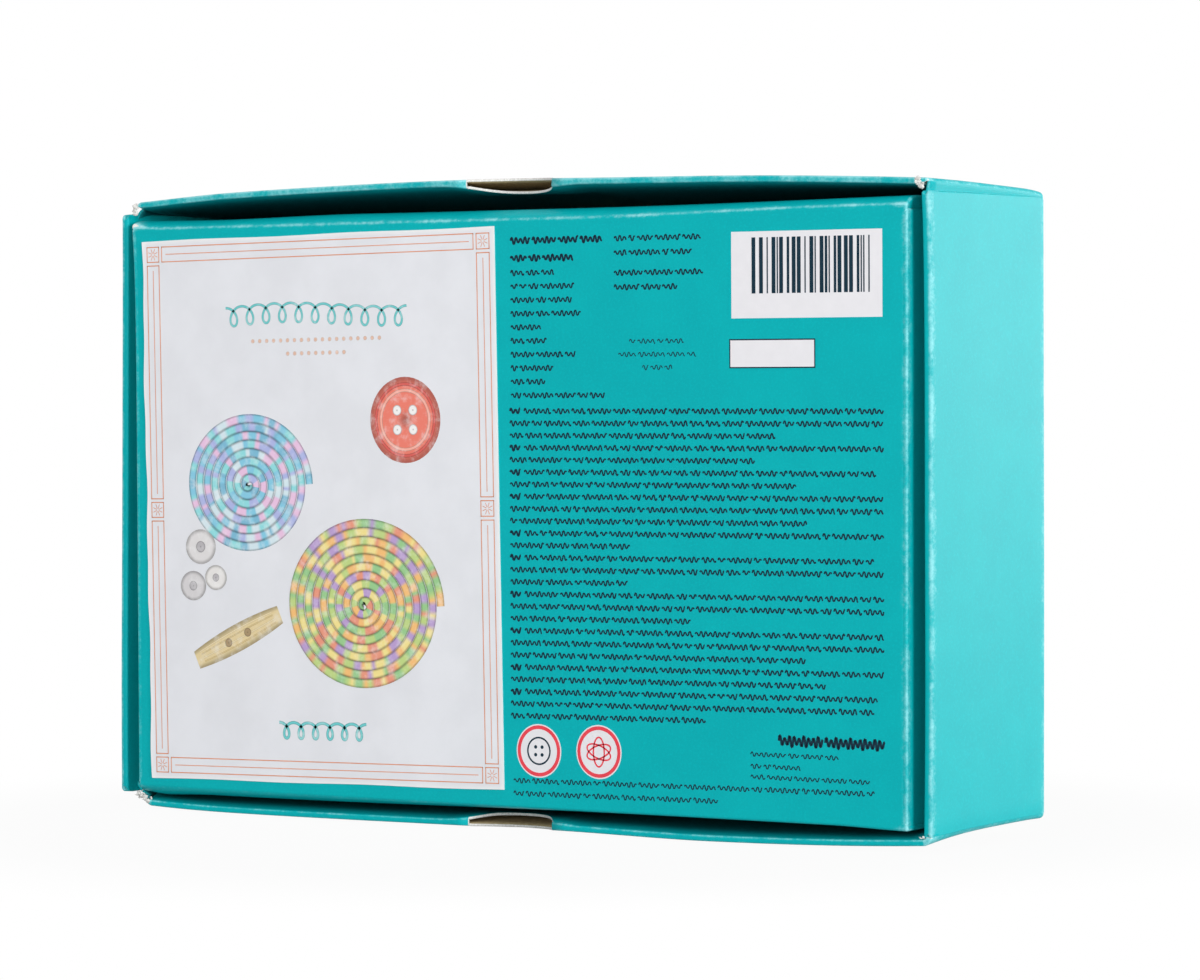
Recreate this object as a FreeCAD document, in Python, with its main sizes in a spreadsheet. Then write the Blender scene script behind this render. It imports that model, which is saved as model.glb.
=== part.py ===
"""Boxed kit for making i-cord: a two-part carton with a knitting spool, a hook, yarn, a leaflet and a card
insert.

The closed carton stands on a long side: X is its width, Z its height and Y its depth.
The base carton's printed underside faces -Y and its open side faces +Y, into the lid.
Every piece is drawn about its own natural point and then placed from the same named sizes.
"""

import FreeCAD
import Part
import Sketcher
import math
import os
from FreeCAD import Placement, Rotation, Vector

SIZES = [
    ("base_width", 217.5, "base carton, outside"),
    ("base_height", 139.0, "base carton, outside"),
    ("headroom", 7.1, "room over the leaflet, up to the base's rim"),
    ("base_corner", 0.9, "rounding of the base's upright folds"),
    ("board", 0.6, "thickness of the cartonboard"),
    ("wall", 2.1, "roll-over wall: two boards with a hollow between"),
    ("rim_fold", 0.9, "solid depth of the folded rim"),
    ("fold_round", 0.7, "rounding of the fold round the lid's panel and the base's face"),
    ("rim_round", 0.85, "rounding of the folded rims"),
    ("side_clearance", 3.15, "base to lid at each end wall"),
    ("top_clearance", 2.2, "base to lid under the upper wall, at the lid's panel"),
    ("rest_clearance", 0.3, "gap left where one piece rests on another"),
    ("face_proud", 1.5, "the printed face stands this far out of the lid's rim"),
    ("lid_corner_back", 0.9, "rounding of the lid's long folds at its panel"),
    ("lid_corner_rim", 1.8, "the same rounding at the rim, where the walls part"),
    ("rim_lift", 1.4, "flare of the upper wall's corners at the rim"),
    ("rim_drop", 0.7, "flare of the lower wall's corners at the rim"),
    ("bow_top", 3.0, "bow of the upper wall's rim between its corners"),
    ("bow_bottom", 1.8, "bow of the lower wall's rim between its corners"),
    ("notch_width", 24.4, "thumb notch across the rim"),
    ("notch_depth", 8.5, "thumb notch into the wall"),
    ("label_width", 105.0, "picture label"),
    ("label_paper", 0.2, "thickness of the label with its glue"),
    ("label_side", 3.55, "left fold of the face to the label"),
    ("label_end", 3.75, "upper and lower folds of the face to the label"),
    ("label_raised", 0.1, "the label is stuck this much above the face's middle"),
    ("label_turn", 0.9, "degrees that the label is stuck askew"),
    ("tray_margin", 9.65, "side wall to the spool's cap"),
    ("spool_gap", 11.0, "spool's cap to the first skein"),
    ("skein_gap", 8.0, "from one skein to the next"),
    ("well_clearance", 0.4, "insert's wells round what they hold"),
    ("well_corner", 3.0, "rounding of the wells' corners"),
    ("stem_length", 72.0, "spool's stem"),
    ("foot_radius", 9.5, "stem at its foot"),
    ("belly_radius", 15.0, "stem at its thickest"),
    ("belly_height", 28.0, "foot to the thickest place"),
    ("neck_radius", 9.7, "stem at its thinnest"),
    ("neck_drop", 11.0, "neck below the stem's top, and the radius of the flare"),
    ("bore_radius", 5.0, "cord's hole through stem and cap"),
    ("cap_radius", 22.0, "spool's cap at its brim"),
    ("cap_height", 16.0, "seat to the crown of the dome"),
    ("brim_height", 1.6, "seat to the start of the dome"),
    ("glue_line", 0.05, "between stem and cap"),
    ("wire_radius", 0.8, "peg wire"),
    ("peg_circle", 10.0, "radius of the circle that the pegs stand on"),
    ("peg_half_gap", 3.45, "half the distance between a peg's legs"),
    ("peg_straight", 11.0, "straight leg above the cap"),
    ("peg_bend", 5.0, "radius of the outward bend"),
    ("peg_lean", 40.0, "degrees that a peg's tip leans outward"),
    ("peg_sunk", 5.0, "wire driven into the cap"),
    ("hook_length", 88.0, "hook needle"),
    ("hook_width", 5.4, "hook needle at its butt"),
    ("hook_tip_width", 3.8, "hook needle beside its barb"),
    ("hook_thickness", 3.6, "hook needle"),
    ("hook_round", 0.7, "rounding of the needle's edges"),
    ("end_ease", 1.02, "rounded ends are this much flatter than half circles"),
    ("nose_length", 6.0, "needle's nose, where its back curves to the tip"),
    ("nose_curve", 24.0, "radius of that curve"),
    ("tip_width", 1.33, "blunt tip of the needle"),
    ("tip_shoulder", 0.6, "the tip's shoulders below the needle's end"),
    ("tip_round", 0.9, "rounding of the tip between its shoulders"),
    ("barb_point", 5.2, "needle's end to the barb's point"),
    ("throat_depth", 1.7, "cut of the barb into the needle"),
    ("throat_top", 7.4, "needle's end to the top of the throat"),
    ("throat_low", 9.0, "needle's end to the bottom of the throat"),
    ("throat_round", 1.1, "rounding of the throat"),
    ("throat_end", 12.5, "needle's end to where the cut runs out"),
    ("skein_length", 100.0, "yarn skein"),
    ("skein_radius", 22.0, "yarn skein at its two bulges"),
    ("skein_end", 12.0, "flat end of a skein, its radius"),
    ("skein_shoulder", 15.0, "flat end to the full bulge"),
    ("waist_radius", 18.0, "yarn skein under its band"),
    ("band_width", 25.0, "paper band round a skein"),
    ("band_paper", 0.4, "thickness of a band"),
    ("leaflet_side", 16.65, "side wall to the folded leaflet"),
    ("leaflet_end", 6.5, "upper wall to the folded leaflet, which rests on the lower one"),
    ("leaflet_leaf", 0.35, "one leaf, of several sheets"),
    ("leaflet_gap", 0.5, "between the leaflet's two leaves"),
]

PLACES = [
    ("inside_half_width", "Sizes.base_width / 2 - Sizes.wall"),
    ("inside_half_height", "Sizes.base_height / 2 - Sizes.wall"),
    ("lid_half_width", "Sizes.base_width / 2 + Sizes.side_clearance + Sizes.wall"),
    ("lid_top", "Sizes.base_height / 2 + Sizes.top_clearance + Sizes.wall"),
    ("lid_bottom", "-(Sizes.base_height / 2 + Sizes.rest_clearance + Sizes.wall)"),
    ("floor_lift", "Sizes.rim_drop + Sizes.bow_bottom - Places.lid_bottom"),
    ("tray_floor", "Sizes.board + Sizes.rest_clearance"),
    ("spool_y", "Places.tray_floor + Sizes.cap_radius"),
    ("skein_y", "Places.tray_floor + Sizes.skein_radius"),
    ("content_radius", "max(Sizes.cap_radius; Sizes.skein_radius)"),
    ("insert_top", "Places.tray_floor + Places.content_radius + Sizes.rest_clearance"),
    ("platform_middle", "Places.insert_top - Sizes.board / 2"),
    ("leaflet_y", "Places.tray_floor + 2 * Places.content_radius + Sizes.rest_clearance"),
    ("leaflet_thickness", "2 * Sizes.leaflet_leaf + Sizes.leaflet_gap"),
    ("leaflet_z", "Sizes.rest_clearance - Places.inside_half_height"),
    ("leaflet_half_width", "Places.inside_half_width - Sizes.leaflet_side"),
    ("leaflet_height", "2 * Places.inside_half_height - Sizes.rest_clearance - Sizes.leaflet_end"),
    ("base_rim", "Places.leaflet_y + Places.leaflet_thickness + Sizes.headroom"),
    ("lid_back", "Places.base_rim + Sizes.rest_clearance + Sizes.board"),
    ("depth_centre", "(Places.lid_back - Sizes.label_paper) / 2"),
    ("label_x", "Sizes.label_side + Sizes.label_width / 2 - Sizes.base_width / 2"),
    ("spool_x", "Sizes.tray_margin + Sizes.cap_radius - Places.inside_half_width"),
    ("skein_warm_x", "Places.spool_x + Sizes.cap_radius + Sizes.spool_gap + Sizes.skein_radius"),
    ("skein_cool_x", "Places.skein_warm_x + 2 * Sizes.skein_radius + Sizes.skein_gap"),
    ("hook_x", "(Places.skein_cool_x + Sizes.skein_radius + Places.inside_half_width) / 2"),
    ("dome_rise", "Sizes.cap_height - Sizes.brim_height"),
    ("dome_radius", "(Sizes.cap_radius ^ 2 + Places.dome_rise ^ 2) / (2 * Places.dome_rise)"),
    ("dome_centre", "Sizes.cap_height - Places.dome_radius"),
    ("peg_foot", "Places.dome_centre + sqrt(Places.dome_radius ^ 2 - Sizes.peg_circle ^ 2)"),
    ("bend_rise", "Sizes.peg_bend * sin(Sizes.peg_lean * 1deg)"),
    ("tip_rise", "Sizes.peg_half_gap * cos(Sizes.peg_lean * 1deg) + Sizes.wire_radius"),
    ("peg_top", "Places.peg_foot + Sizes.peg_straight + Places.bend_rise + Places.tip_rise"),
    ("spool_length", "Sizes.stem_length + Sizes.glue_line + Places.peg_top"),
    ("spool_foot", "-Places.spool_length / 2"),
    ("cap_seat", "Places.spool_foot + Sizes.stem_length + Sizes.glue_line"),
]


def fill_sheet(doc):
    """The driving sizes, in millimetres and degrees: name, value and what it is."""
    sheet = doc.addObject("Spreadsheet::Sheet", "Sizes")
    for row, (alias, size, note) in enumerate(SIZES, start=1):
        sheet.set(f"A{row}", note)
        sheet.set(f"B{row}", str(size))
        sheet.setAlias(f"B{row}", alias)
    doc.recompute()
    return sheet


def fill_places(doc):
    """Sizes and places that follow from the driving ones."""
    places = doc.addObject("App::VarSet", "Places")
    for name, formula in PLACES:
        places.addProperty("App::PropertyFloat", name)
        places.setExpression(name, formula)
        doc.recompute()
    return places


def new_body(doc, label, x="0", y="0", z="0"):
    """A body at a kit place, counted from the printed face's centre. The part's origin is on the floor."""
    body = doc.addObject("PartDesign::Body", label)
    body.Label = label
    place(body, x, y, z)
    return body


def place(piece, x, y, z):
    piece.setExpression("Placement.Base.x", x)
    piece.setExpression("Placement.Base.y", f"{y} - Places.depth_centre")
    piece.setExpression("Placement.Base.z", f"{z} + Places.floor_lift")


def new_sketch(body, name, role, offset=None):
    """A sketch on one of the body's own origin planes, or at an offset along that plane's normal."""
    sketch = body.newObject("Sketcher::SketchObject", name)
    plane = next(item for item in body.Origin.OriginFeatures if item.Role == role)
    sketch.AttachmentSupport = [(plane, "")]
    sketch.MapMode = "FlatFace"
    if offset:
        sketch.setExpression("AttachmentOffset.Base.z", offset)
    return sketch


def trace(sketch, corners):
    """A closed outline. Each corner is (x, y), where a line leaves it, or (x, y, radius, side) for an arc.

    side is 1 where the arc swells to the left of the way round and -1 where it swells to the right.
    """
    points = [Vector(number(sketch, c[0]), number(sketch, c[1]), 0) for c in corners]
    ends = []
    first = sketch.GeometryCount
    for index, corner in enumerate(corners):
        start, stop = points[index], points[(index + 1) % len(points)]
        if len(corner) == 2:
            sketch.addGeometry(Part.LineSegment(start, stop))
            ends.append((1, 2))
            continue
        radius, side = number(sketch, corner[2]), corner[3]
        half = (stop - start) * 0.5
        sagitta = radius - math.sqrt(max(radius**2 - half.Length**2, 0))
        left = Vector(-half.y, half.x, 0).normalize()
        sketch.addGeometry(Part.ArcOfCircle(start, start + half + left * sagitta * side, stop))
        ends.append((2, 1) if side > 0 else (1, 2))
    for index, corner in enumerate(corners):
        edge, before = first + index, first + (index - 1) % len(corners)
        at = ends[index][0]
        sketch.addConstraint(Sketcher.Constraint("Coincident", before, ends[index - 1][1], edge, at))
        bind(sketch, Sketcher.Constraint("DistanceX", edge, at, points[index].x), corner[0])
        bind(sketch, Sketcher.Constraint("DistanceY", edge, at, points[index].y), corner[1])
        if len(corner) > 2:
            bind(sketch, Sketcher.Constraint("Radius", edge, number(sketch, corner[2])), corner[2])


def number(sketch, formula):
    return float(sketch.evalExpression(formula))


def bind(sketch, constraint, formula):
    sketch.setExpression(f"Constraints[{sketch.addConstraint(constraint)}]", formula)


def rectangle(sketch, left, low, right, high, corner=None):
    """A rectangle, with rounded corners where a radius is given."""
    if corner is None:
        trace(sketch, [(left, low), (left, high), (right, high), (right, low)])
        return
    trace(sketch, [
        (left, f"{low} + {corner}"),
        (left, f"{high} - {corner}", corner, 1),
        (f"{left} + {corner}", high),
        (f"{right} - {corner}", high, corner, 1),
        (right, f"{high} - {corner}"),
        (right, f"{low} + {corner}", corner, 1),
        (f"{right} - {corner}", low),
        (f"{left} + {corner}", low, corner, 1),
    ])


def carton_section(body, name, y, inset, half_width, top, bottom, corner, bows=None):
    """One cross-section of a carton: four walls with rounded folds, the long ones bowed where bows are given.

    Folds keep half their outside rounding on the inside of the wall.
    """
    w = f"({half_width} - {inset})"
    t = f"({top} - {inset})"
    b = f"({bottom} + {inset})"
    c = f"({corner} * (1 - {inset} / (2 * Sizes.wall)))"
    chord = f"({w} - {c})"
    upper, lower = [(f"({chord}^2 + {bow}^2) / (2 * {bow})", 1) for bow in bows] if bows else ((), ())
    sketch = new_sketch(body, name, "XZ_Plane", f"-({y})")
    trace(sketch, [
        (f"-{w}", f"{b} + {c}"),
        (f"-{w}", f"{t} - {c}", c, 1),
        (f"-{chord}", t, *upper),
        (chord, t, c, 1),
        (w, f"{t} - {c}"),
        (w, f"{b} + {c}", c, 1),
        (chord, b, *lower),
        (f"-{chord}", b, c, 1),
    ])
    return sketch


def loft(body, kind, name, sections):
    """A straight-sided loft from one section to the next."""
    feature = body.newObject(f"PartDesign::{kind}Loft", name)
    feature.Profile = sections[0]
    feature.Sections = sections[1:]
    feature.Ruled = True
    body.Document.recompute()
    return feature


def extrude(body, kind, sketch, length, midplane=False, reverse=False):
    feature = body.newObject(f"PartDesign::{kind}", f"{sketch.Name}_{kind}")
    feature.Profile = sketch
    feature.setExpression("Length", length)
    feature.Midplane = midplane
    feature.Reversed = reverse
    body.Document.recompute()
    return feature


def revolve(body, sketch):
    """A full turn about the sketch's upright axis."""
    feature = body.newObject("PartDesign::Revolution", f"{sketch.Name}_turned")
    feature.Profile = sketch
    feature.ReferenceAxis = (sketch, ["V_Axis"])
    feature.Angle = 360
    body.Document.recompute()
    return feature


def fillet(body, name, radius, chosen):
    """Rounds the edges of the body's tip that the test picks."""
    base = body.Tip
    names = [f"Edge{i}" for i, edge in enumerate(base.Shape.Edges, start=1) if chosen(edge)]
    feature = body.newObject("PartDesign::Fillet", name)
    feature.Base = (base, names)
    feature.setExpression("Radius", radius)
    body.Document.recompute()
    return feature


def at_depth(y):
    """Picks edges that lie in the plane at this depth."""
    def chosen(edge):
        box = edge.BoundBox
        return abs(box.YMin - y) < 1e-3 and abs(box.YMax - y) < 1e-3
    return chosen


def hollow_carton(body, section, panel, rim, inward):
    """A tray with roll-over walls: an outer board, a hollow and an inner board, joined by the folded rim.

    section(name, y, inset, at_rim) draws a cross-section. inward is +1 or -1, the way from panel to rim in Y.
    """
    step = "+" if inward > 0 else "-"
    back = "-" if inward > 0 else "+"
    inner_board = "(Sizes.wall - Sizes.board)"
    panel_inside = f"{panel} {step} Sizes.board"
    panel_middle = f"{panel} {step} Sizes.board / 2"
    under_fold = f"{rim} {back} Sizes.rim_fold"
    in_fold = f"{rim} {back} Sizes.rim_fold / 2"
    loft(body, "Additive", "block", [
        section("outside_panel", panel, "0", False),
        section("outside_rim", rim, "0", True),
    ])
    fillet(body, "panel_fold", "Sizes.fold_round", at_depth(number(body, panel)))
    loft(body, "Subtractive", "outer_board", [
        section("outer_board_panel", panel_inside, "Sizes.board", False),
        section("outer_board_rim", under_fold, "Sizes.board", True),
    ])
    loft(body, "Additive", "inner_board", [
        section("inner_board_panel", panel_middle, inner_board, False),
        section("inner_board_rim", in_fold, inner_board, True),
    ])
    loft(body, "Subtractive", "inside", [
        section("inside_panel", panel_inside, "Sizes.wall", False),
        section("inside_rim", f"{rim} {step} Sizes.board", "Sizes.wall", True),
    ])
    fillet(body, "rim_edges", "Sizes.rim_round", at_depth(number(body, rim)))


def build_base_carton(doc):
    body = new_body(doc, "base_carton")
    half_height = "Sizes.base_height / 2"

    def section(name, y, inset, at_rim):
        return carton_section(body, f"base_{name}", y, inset, "Sizes.base_width / 2",
                              half_height, f"-{half_height}", "Sizes.base_corner")

    hollow_carton(body, section, "0", "Places.base_rim", 1)
    return body


def build_lid_carton(doc):
    body = new_body(doc, "lid_carton")

    def section(name, y, inset, at_rim):
        if at_rim:
            return carton_section(body, f"lid_{name}", y, inset, "Places.lid_half_width",
                                  "Places.lid_top + Sizes.rim_lift", "Places.lid_bottom - Sizes.rim_drop",
                                  "Sizes.lid_corner_rim", ("Sizes.bow_top", "Sizes.bow_bottom"))
        return carton_section(body, f"lid_{name}", y, inset, "Places.lid_half_width",
                              "Places.lid_top", "Places.lid_bottom", "Sizes.lid_corner_back")

    hollow_carton(body, section, "Places.lid_back", "Sizes.face_proud", -1)
    notch = new_sketch(body, "thumb_notches", "XY_Plane")
    half, rim = "Sizes.notch_width / 2", "Sizes.face_proud"
    curve = "((Sizes.notch_width / 2)^2 + Sizes.notch_depth^2) / (2 * Sizes.notch_depth)"
    trace(notch, [
        (f"-{half}", f"{rim} - Sizes.wall"),
        (f"-{half}", rim, curve, 1),
        (half, rim),
        (half, f"{rim} - Sizes.wall"),
    ])
    extrude(body, "Pocket", notch, "4 * Places.floor_lift", midplane=True)
    return body


def build_label(doc):
    """The paper label, stuck a little askew on the printed face."""
    body = new_body(doc, "picture_label", "Places.label_x", "0", "Sizes.label_raised")
    body.Placement.Rotation = Rotation(Vector(0, -1, 0), 1)
    body.setExpression("Placement.Rotation.Angle", "Sizes.label_turn")
    sketch = new_sketch(body, "label_outline", "XZ_Plane")
    half_width, half_height = "Sizes.label_width / 2", "Sizes.base_height / 2 - Sizes.label_end"
    rectangle(sketch, f"-{half_width}", f"-({half_height})", half_width, half_height)
    extrude(body, "Pad", sketch, "Sizes.label_paper")
    return body


def build_insert(doc):
    """Folded card platform that fills the tray, with a die-cut well for each thing that it holds."""
    body = new_body(doc, "card_insert")
    half_width = "Places.inside_half_width - Sizes.rest_clearance"
    half_height = "Places.inside_half_height - Sizes.rest_clearance"
    outline = new_sketch(body, "insert_outline", "XZ_Plane", "-Places.tray_floor")
    rectangle(outline, f"-({half_width})", f"-({half_height})", half_width, half_height)
    extrude(body, "Pad", outline, "Places.insert_top - Places.tray_floor", reverse=True)
    underside = new_sketch(body, "insert_underside", "XZ_Plane", "-Places.tray_floor")
    inner_width, inner_height = f"{half_width} - Sizes.board", f"{half_height} - Sizes.board"
    rectangle(underside, f"-({inner_width})", f"-({inner_height})", inner_width, inner_height)
    extrude(body, "Pocket", underside, "Places.insert_top - Places.tray_floor - Sizes.board")
    gap = "Sizes.well_clearance"
    skein_width = f"Sizes.skein_radius + {gap}"
    skein_height = f"Sizes.skein_length / 2 + {gap}"
    wells = {
        "stem": ("Places.spool_x", f"Sizes.belly_radius + {gap}",
                 f"Places.spool_foot - {gap}", "Places.cap_seat"),
        "cap": ("Places.spool_x", f"Sizes.cap_radius + {gap}",
                f"Places.cap_seat - Sizes.neck_drop", f"-Places.spool_foot + {gap}"),
        "skein_warm": ("Places.skein_warm_x", skein_width, f"-({skein_height})", skein_height),
        "skein_cool": ("Places.skein_cool_x", skein_width, f"-({skein_height})", skein_height),
        "hook": ("Places.hook_x", f"Sizes.hook_width / 2 + {gap}",
                 f"-(Sizes.hook_length / 2 + {gap})", f"Sizes.hook_length / 2 + {gap}"),
    }
    for name, (x, half, low, high) in wells.items():
        sketch = new_sketch(body, f"well_{name}", "XZ_Plane", "-(Places.insert_top - 2 * Sizes.board)")
        corner = "Sizes.board" if name == "hook" else "Sizes.well_corner"
        rectangle(sketch, f"({x} - ({half}))", f"({low})", f"({x} + {half})", f"({high})", corner)
        extrude(body, "Pocket", sketch, "4 * Sizes.board")
    return body


def build_stem(doc):
    """Turned stem: a long swell from the foot, a hollow run into the neck, a flare to the cap and a bore."""
    body = new_body(doc, "spool_stem", "Places.spool_x", "Places.spool_y", "Places.spool_foot")
    swell = "(Sizes.belly_radius - Sizes.foot_radius)"
    belly_curve = f"({swell}^2 + Sizes.belly_height^2) / (2 * {swell})"
    neck_height = "(Sizes.stem_length - Sizes.neck_drop)"
    rise = f"({neck_height} - Sizes.belly_height)"
    narrow = "(Sizes.belly_radius - Sizes.neck_radius)"
    both = f"(({rise}^2 + {narrow}^2) / (2 * {narrow}))"
    neck_curve = f"({both} - {belly_curve})"
    share = f"({belly_curve}) / {both}"
    turn_x = f"Sizes.belly_radius - {narrow} * {share}"
    turn_z = f"Sizes.belly_height + {rise} * {share}"
    sketch = new_sketch(body, "stem_profile", "XZ_Plane")
    trace(sketch, [
        ("Sizes.bore_radius", "0"),
        ("Sizes.bore_radius", "Sizes.stem_length"),
        ("Sizes.neck_radius + Sizes.neck_drop", "Sizes.stem_length", "Sizes.neck_drop", -1),
        ("Sizes.neck_radius", neck_height, neck_curve, -1),
        (turn_x, turn_z, belly_curve, 1),
        ("Sizes.belly_radius", "Sizes.belly_height", belly_curve, 1),
        ("Sizes.foot_radius", "0"),
    ])
    revolve(body, sketch)
    return body


def build_cap(doc):
    """Turned mushroom cap: a domed top over a thin brim, bored through."""
    body = new_body(doc, "spool_cap", "Places.spool_x", "Places.spool_y", "Places.cap_seat")
    sketch = new_sketch(body, "cap_profile", "XZ_Plane")
    crown = "Places.dome_centre + sqrt(Places.dome_radius^2 - Sizes.bore_radius^2)"
    trace(sketch, [
        ("Sizes.bore_radius", "0"),
        ("Sizes.bore_radius", crown, "Places.dome_radius", 1),
        ("Sizes.cap_radius", "Sizes.brim_height"),
        ("Sizes.cap_radius - Sizes.brim_height / 2", "0"),
    ])
    revolve(body, sketch)
    return body


def peg_path(size):
    """A staple's centre line: up one leg, over a tip that leans outward (+X), and down the other leg."""
    lean = math.radians(size("peg_lean"))
    bend, gap, top = size("peg_bend"), size("peg_half_gap"), size("peg_straight")
    outward = Vector(math.sin(lean), 0, math.cos(lean))
    hub = Vector(bend * (1 - math.cos(lean)), 0, top + bend * math.sin(lean))
    middle = Vector(bend * (1 - math.cos(lean / 2)), 0, top + bend * math.sin(lean / 2))
    legs = []
    for side in (-1, 1):
        across = Vector(0, side * gap, 0)
        foot = Vector(0, 0, -size("peg_sunk"))
        legs.append((across + foot, across + Vector(0, 0, top), across + middle, across + hub))
    near, far = legs
    return Part.Wire([
        Part.LineSegment(near[0], near[1]).toShape(),
        Part.Arc(near[1], near[2], near[3]).toShape(),
        Part.Arc(near[3], hub + outward * gap, far[3]).toShape(),
        Part.Arc(far[3], far[2], far[1]).toShape(),
        Part.LineSegment(far[1], far[0]).toShape(),
    ])


def build_pegs(doc):
    """Four wire staples on a circle round the bore, each leaning away from it."""
    sheet = doc.Sizes
    path = peg_path(sheet.get)
    foot = path.OrderedVertexes[0].Point
    ring = Part.Wire(Part.Circle(foot, Vector(0, 0, 1), sheet.get("wire_radius")).toShape())
    staple = path.makePipeShell([ring], True, True)
    pegs = []
    for name, angle in (("right", 0), ("back", 90), ("left", 180), ("front", 270)):
        peg = doc.addObject("Part::Feature", f"peg_{name}")
        peg.Label = f"peg_{name}"
        peg.Shape = staple
        peg.Placement = Placement(Vector(), Rotation(Vector(0, 0, 1), angle))
        turned = f"{angle} * 1deg"
        place(peg, f"Places.spool_x + Sizes.peg_circle * cos({turned})",
              f"Places.spool_y + Sizes.peg_circle * sin({turned})", "Places.cap_seat + Places.peg_foot")
        pegs.append(peg)
    return pegs


def build_hook(doc):
    """Flat tapered needle with a rounded butt and a barb cut into one edge near its tip."""
    low = "-Sizes.hook_length / 2"
    body = new_body(doc, "hook_needle", "Places.hook_x", "Places.platform_middle", low)
    butt, side, tip = "Sizes.hook_width / 2", "Sizes.hook_tip_width / 2", "Sizes.tip_width / 2"
    throat = f"{side} - Sizes.throat_depth"
    sketch = new_sketch(body, "hook_outline", "XZ_Plane")
    trace(sketch, [
        (f"-{butt}", butt),
        (f"-{side}", "Sizes.hook_length - Sizes.nose_length", "Sizes.nose_curve", 1),
        (f"-{tip}", "Sizes.hook_length - Sizes.tip_shoulder", "Sizes.tip_round", 1),
        (tip, "Sizes.hook_length - Sizes.tip_shoulder"),
        (side, "Sizes.hook_length - Sizes.barb_point"),
        (throat, "Sizes.hook_length - Sizes.throat_top", "Sizes.throat_round", -1),
        (throat, "Sizes.hook_length - Sizes.throat_low"),
        (side, "Sizes.hook_length - Sizes.throat_end"),
        (butt, butt, f"{butt} * Sizes.end_ease", 1),
    ])
    extrude(body, "Pad", sketch, "Sizes.hook_thickness", midplane=True)
    fillet(body, "hook_edges", "Sizes.hook_round", lambda edge: edge.BoundBox.YLength < 1e-3)
    return body


def build_skein(doc, tone):
    """Plain solid of a skein: two bulges with sloping shoulders and a narrower waist where the band goes."""
    x, low = f"Places.skein_{tone}_x", "-Sizes.skein_length / 2"
    body = new_body(doc, f"skein_{tone}", x, "Places.skein_y", low)
    waist_low = "Sizes.skein_length / 2 - Sizes.band_width / 2"
    waist_high = "Sizes.skein_length / 2 + Sizes.band_width / 2"
    sketch = new_sketch(body, f"skein_{tone}_profile", "XZ_Plane")
    trace(sketch, [
        ("0", "0"),
        ("0", "Sizes.skein_length"),
        ("Sizes.skein_end", "Sizes.skein_length"),
        ("Sizes.skein_radius", "Sizes.skein_length - Sizes.skein_shoulder"),
        ("Sizes.waist_radius", waist_high),
        ("Sizes.waist_radius", waist_low),
        ("Sizes.skein_radius", "Sizes.skein_shoulder"),
        ("Sizes.skein_end", "0"),
    ])
    revolve(body, sketch)
    return body


def build_band(doc, tone):
    """Paper band round a skein's waist."""
    x, low = f"Places.skein_{tone}_x", "-Sizes.band_width / 2"
    body = new_body(doc, f"band_{tone}", x, "Places.skein_y", low)
    sketch = new_sketch(body, f"band_{tone}_profile", "XZ_Plane")
    inside = "Sizes.waist_radius + Sizes.rest_clearance"
    rectangle(sketch, inside, "Sizes.board", f"{inside} + Sizes.band_paper", "Sizes.band_width - Sizes.board")
    revolve(body, sketch)
    return body


def build_leaflet(doc):
    """A leaflet folded once along its left edge, lying on the spool and the skeins."""
    left = "-Places.leaflet_half_width"
    body = new_body(doc, "instruction_leaflet", left, "Places.leaflet_y", "Places.leaflet_z")
    sketch = new_sketch(body, "leaflet_section", "XY_Plane")
    leaf, thick, width = "Sizes.leaflet_leaf", "Places.leaflet_thickness", "2 * Places.leaflet_half_width"
    fold_outside = f"{thick} / 2 * Sizes.end_ease"
    fold_inside = "Sizes.leaflet_gap / 2 * Sizes.end_ease"
    trace(sketch, [
        (width, "0"),
        (f"{thick} / 2", "0", fold_outside, 1),
        (f"{thick} / 2", thick),
        (width, thick),
        (width, f"{thick} - {leaf}"),
        (f"{thick} / 2", f"{thick} - {leaf}", fold_inside, -1),
        (f"{thick} / 2", leaf),
        (width, leaf),
    ])
    extrude(body, "Pad", sketch, "Places.leaflet_height")
    return body


def check_model(doc, pieces):
    """Stops the build if a feature failed or a piece isn't a sound solid."""
    failed = [item.Name for item in doc.Objects if {"Invalid", "Error"} & set(item.State)]
    if failed:
        raise RuntimeError(f"features that failed: {failed}")
    for piece in pieces:
        shape = piece.Shape
        if shape.isNull() or not shape.isValid() or len(shape.Solids) != 1:
            raise RuntimeError(f"{piece.Label} is not one sound solid")


def main():
    doc = FreeCAD.newDocument("cord_maker_kit")
    fill_sheet(doc)
    fill_places(doc)
    pieces = [
        build_base_carton(doc), build_lid_carton(doc), build_label(doc), build_insert(doc),
        build_stem(doc), build_cap(doc), *build_pegs(doc), build_hook(doc), build_leaflet(doc),
    ]
    for tone in ("warm", "cool"):
        pieces += [build_skein(doc, tone), build_band(doc, tone)]
    doc.recompute()
    check_model(doc, pieces)
    os.makedirs("parts", exist_ok=True)
    for piece in pieces:
        piece.Shape.exportStep(f"parts/{piece.Label}.step")
        print(f"{piece.Label:20s} volume {piece.Shape.Volume:10.1f} mm3")


main()
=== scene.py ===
"""Looks of the boxed cord-maker kit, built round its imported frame.

The cartons are sheets of coated board, folded and rolled over at the rim.
"""

import math
from types import SimpleNamespace

import bmesh
import bpy
import numpy as np
from bpy.props import FloatProperty, FloatVectorProperty, IntProperty, PointerProperty
from mathutils import Matrix, Vector


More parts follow.
